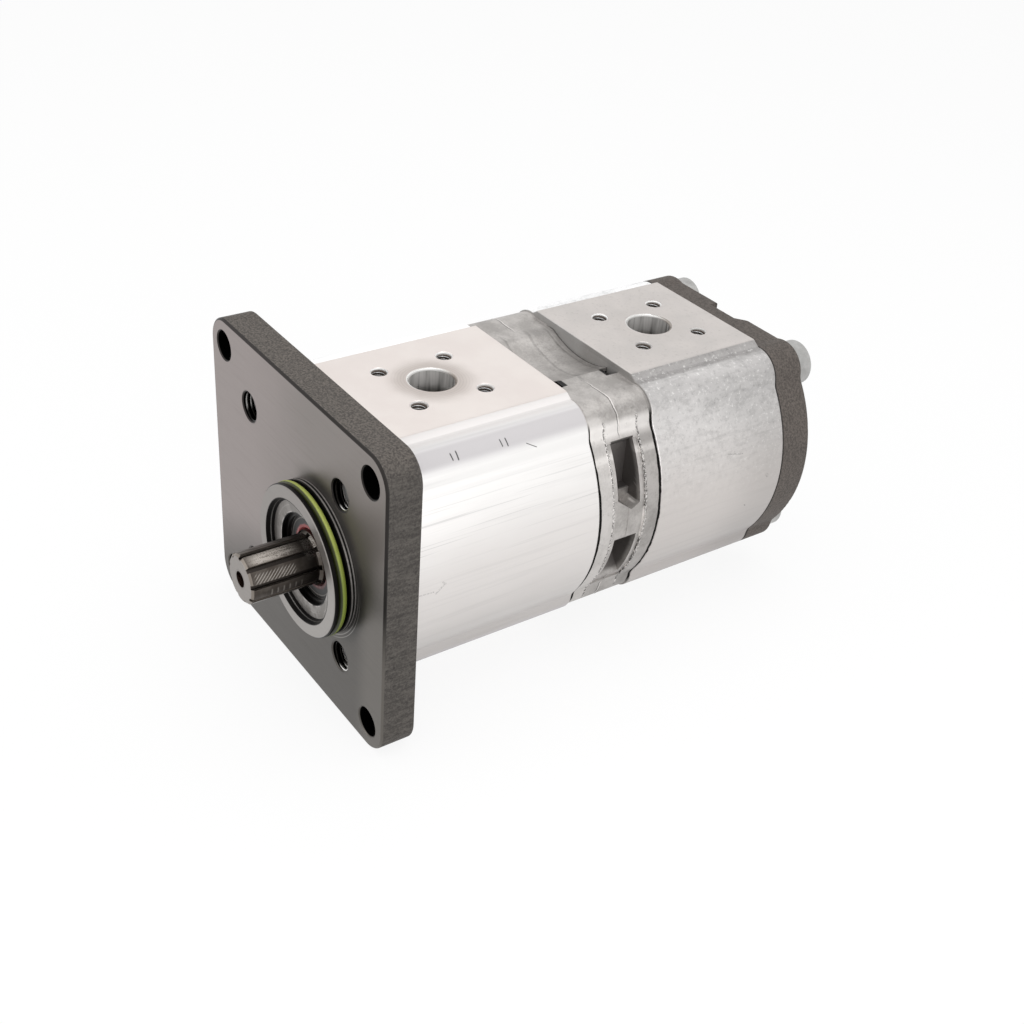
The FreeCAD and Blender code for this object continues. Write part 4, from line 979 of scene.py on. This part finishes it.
# Geometry Nodes: threads in the holes, the cast seam and its flash
def growTree(name, sockets):
    # a Geometry Nodes tree with named inputs for its sizes
    tree = bpy.data.node_groups.new(name, "GeometryNodeTree")
    tree.interface.new_socket("Geometry", in_out="INPUT", socket_type="NodeSocketGeometry")
    for label, kind in sockets.items():
        tree.interface.new_socket(label, in_out="INPUT", socket_type="NodeSocket" + kind)
    tree.interface.new_socket("Geometry", in_out="OUTPUT", socket_type="NodeSocketGeometry")
    graph = Graph(tree)
    start = graph.add("NodeGroupInput")
    return tree, graph, start


def sweep(graph, path, radius, sides, caps=False):
    # a thin rod along a path
    profile = {"Resolution": sides, "Radius": radius}
    section = graph.add("GeometryNodeCurvePrimitiveCircle", None, profile)
    values = {"Curve": path, "Profile Curve": section, "Fill Caps": caps}
    return graph.add("GeometryNodeCurveToMesh", None, values)


def closeTree(graph, result, start):
    # real geometry with the tree's material, shaded smooth
    real = graph.add("GeometryNodeRealizeInstances", None, {0: result})
    dressed = graph.add("GeometryNodeSetMaterial", None, {0: real, "Material": start.pick("Material")})
    smooth = graph.add("GeometryNodeSetShadeSmooth", None, {0: dressed})
    graph.add("NodeGroupOutput", None, {0: smooth})


def grow(tree, points, edges, name, settings):
    # runs the tree on a few points or a path and keeps the plain mesh
    mesh = bpy.data.meshes.new(name)
    mesh.from_pydata([Vector(point) * mm for point in points], edges, [])
    source = bpy.data.objects.new(name, mesh)
    addToScene(source)
    modifier = source.modifiers.new("grow", "NODES")
    modifier.node_group = tree
    for item in tree.interface.items_tree:
        if item.item_type == "SOCKET" and item.in_out == "INPUT" and item.name in settings:
            modifier[item.identifier] = settings[item.name]
    return bake(source, name)


def threadTree():
    # a ridge wound round each hole, one copy at each point
    sockets = {name: "Float" for name in ("Radius", "Pitch", "Turns", "Ridge")}
    sockets.update({"Tilt": "Rotation", "Material": "Material"})
    tree, graph, start = growTree("tappedThreads", sockets)
    radius = start.pick("Radius")
    turns = start.pick("Turns")
    winding = {"Resolution": 28, "Rotations": turns, "Start Radius": radius, "End Radius": radius}
    winding["Height"] = start.pick("Pitch") * turns * -1.0
    coil = graph.add("GeometryNodeCurveSpiral", None, winding)
    ridge = sweep(graph, coil, start.pick("Ridge"), 4)
    values = {"Points": start.pick("Geometry"), "Instance": ridge, "Rotation": start.pick("Tilt")}
    copies = graph.add("GeometryNodeInstanceOnPoints", None, values)
    closeTree(graph, copies, start)
    return tree


threads = threadTree()
threadSet = {
    "casing": {"Radius": 2.48 * mm, "Pitch": 1.0 * mm, "Turns": 11.0, "Ridge": 0.36 * mm},
    "flange": {"Radius": 4.95 * mm, "Pitch": 1.5 * mm, "Turns": 1.6, "Ridge": 0.55 * mm},
}
threadStart = {"casing": padTop - 0.9, "flange": 0.7}  # just inside each hole's mouth
portThreads = (
    ("frontPortThreads", "front_casting", frontPort),
    ("rearPortThreads", "rear_casting", rearPort),
)
for name, slotName, along in portThreads:
    for level, sign, tilt in (("upper", 1, 0.0), ("lower", -1, math.pi)):
        step = screwSteps[level]
        up = sign * threadStart["casing"]
        points = [(middle + i * step, along + j * step, up) for i in (1, -1) for j in (1, -1)]
        steel = looks["dowel_steel"]
        settings = {**threadSet["casing"], "Tilt": (tilt, 0.0, 0.0), "Material": steel}
        piece = grow(threads, points, [], name + level.capitalize(), settings)
        seat(piece, "housing", slotName, look=steel)
points = [(across, threadStart["flange"], up) for across, up in boltSpots]
steel = extraLooks["threads"]
settings = {**threadSet["flange"], "Tilt": (math.pi / 2, 0.0, 0.0), "Material": steel}
piece = grow(threads, points, [], "flangeThreads", settings)
seat(piece, "housing", "flange_iron", look=steel)
print("threads wound")


def sectionPath(node, along, wanted):
    # where a plane across the shaft cuts a node, as points and edges
    work = bmesh.new()
    work.from_mesh(frame["nodes"][node].data)
    bmesh.ops.remove_doubles(work, verts=work.verts[:], dist=mergeWithin)
    everything = work.verts[:] + work.edges[:] + work.faces[:]
    cut = bmesh.ops.bisect_plane(work, geom=everything, plane_co=(0, along * mm, 0), plane_no=(0, 1, 0))
    points = []
    edges = []
    index = {}
    for item in cut["geom_cut"]:
        if isinstance(item, bmesh.types.BMEdge) and all(wanted(vert.co / mm) for vert in item.verts):
            pair = []
            for vert in item.verts:
                if vert not in index:
                    index[vert] = len(points)
                    points.append(tuple(vert.co / mm))
                pair.append(index[vert])
            edges.append(pair)
    work.free()
    return points, edges


def seamTree():
    # a fine raised line along a path, with a point every millimetre
    tree, graph, start = growTree("castSeam", {"Width": "Float", "Material": "Material"})
    path = graph.add("GeometryNodeMeshToCurve", None, {0: start.pick("Geometry")})
    values = {"Curve": path, "Length": 1.0 * mm}
    even = graph.add("GeometryNodeResampleCurve", {"mode": "LENGTH"}, values)
    closeTree(graph, sweep(graph, even, start.pick("Width"), 6, True), start)
    return tree


def flashTree():
    # rough crumbs of casting flash scattered along a path
    drift = (0.0002, 0.0004, 0.0002)  # how far a crumb may lie off the path, in metres
    sockets = {"Spacing": "Float", "Grain": "Float", "Seed": "Int", "Material": "Material"}
    tree, graph, start = growTree("castFlash", sockets)
    path = graph.add("GeometryNodeMeshToCurve", None, {0: start.pick("Geometry")})
    values = {"Curve": path, "Length": start.pick("Spacing")}
    dots = graph.add("GeometryNodeCurveToPoints", {"mode": "LENGTH"}, values)
    vectors = {"data_type": "FLOAT_VECTOR"}
    seed = start.pick("Seed")
    limits = {0: [-part for part in drift], 1: drift, "Seed": seed}
    away = graph.add("FunctionNodeRandomValue", vectors, limits)
    moved = graph.add("GeometryNodeSetPosition", None, {0: dots, "Offset": away})
    values = {"Radius": start.pick("Grain"), "Subdivisions": 1}
    crumb = graph.add("GeometryNodeMeshIcoSphere", None, values)
    limits = {0: (0.4, 0.5, 0.3), 1: (1.0, 1.7, 1.0), "Seed": seed}
    size = graph.add("FunctionNodeRandomValue", vectors, limits)
    values = {"Points": moved, "Instance": crumb, "Scale": size}
    copies = graph.add("GeometryNodeInstanceOnPoints", None, values)
    closeTree(graph, copies, start)
    return tree


def onArc(arc, sign):
    # picks a round side between two angles, in degrees above the shaft's level
    def wanted(spot):
        across = (spot.x - middle) * sign
        angle = math.degrees(math.atan2(spot.z, across))
        inArc = across > 0 and arc[0] < angle < arc[1]
        return inArc and math.hypot(across, spot.z) > sideRadius

    return wanted


seam = seamTree()
flash = flashTree()
seamSet = {"Width": 0.16 * mm}
flashSet = {"Spacing": 0.42 * mm, "Grain": 0.3 * mm, "Seed": 7}
seamArc = (-45.0, 47.0)
flashArc = (-22.0, 43.0)
flashInset = 6.3  # from each end of the casting
start, end = ends("center_section")
for name, sign in (("Right", 1), ("Left", -1)):
    points, edges = sectionPath("center_section", (start + end) / 2, onArc(seamArc, sign))
    settings = {**seamSet, "Material": looks["center_casting"]}
    piece = grow(seam, points, edges, "castSeam" + name, settings)
    seat(piece, "housing", "center_casting")
    for place, along in (("Front", start + flashInset), ("Rear", end - flashInset)):
        points, edges = sectionPath("center_section", along, onArc(flashArc, sign))
        settings = {**flashSet, "Material": extraLooks["flash"]}
        piece = grow(flash, points, edges, "castFlash" + place + name, settings)
        seat(piece, "housing", "center_casting", look=extraLooks["flash"])
print("seam and flash laid")
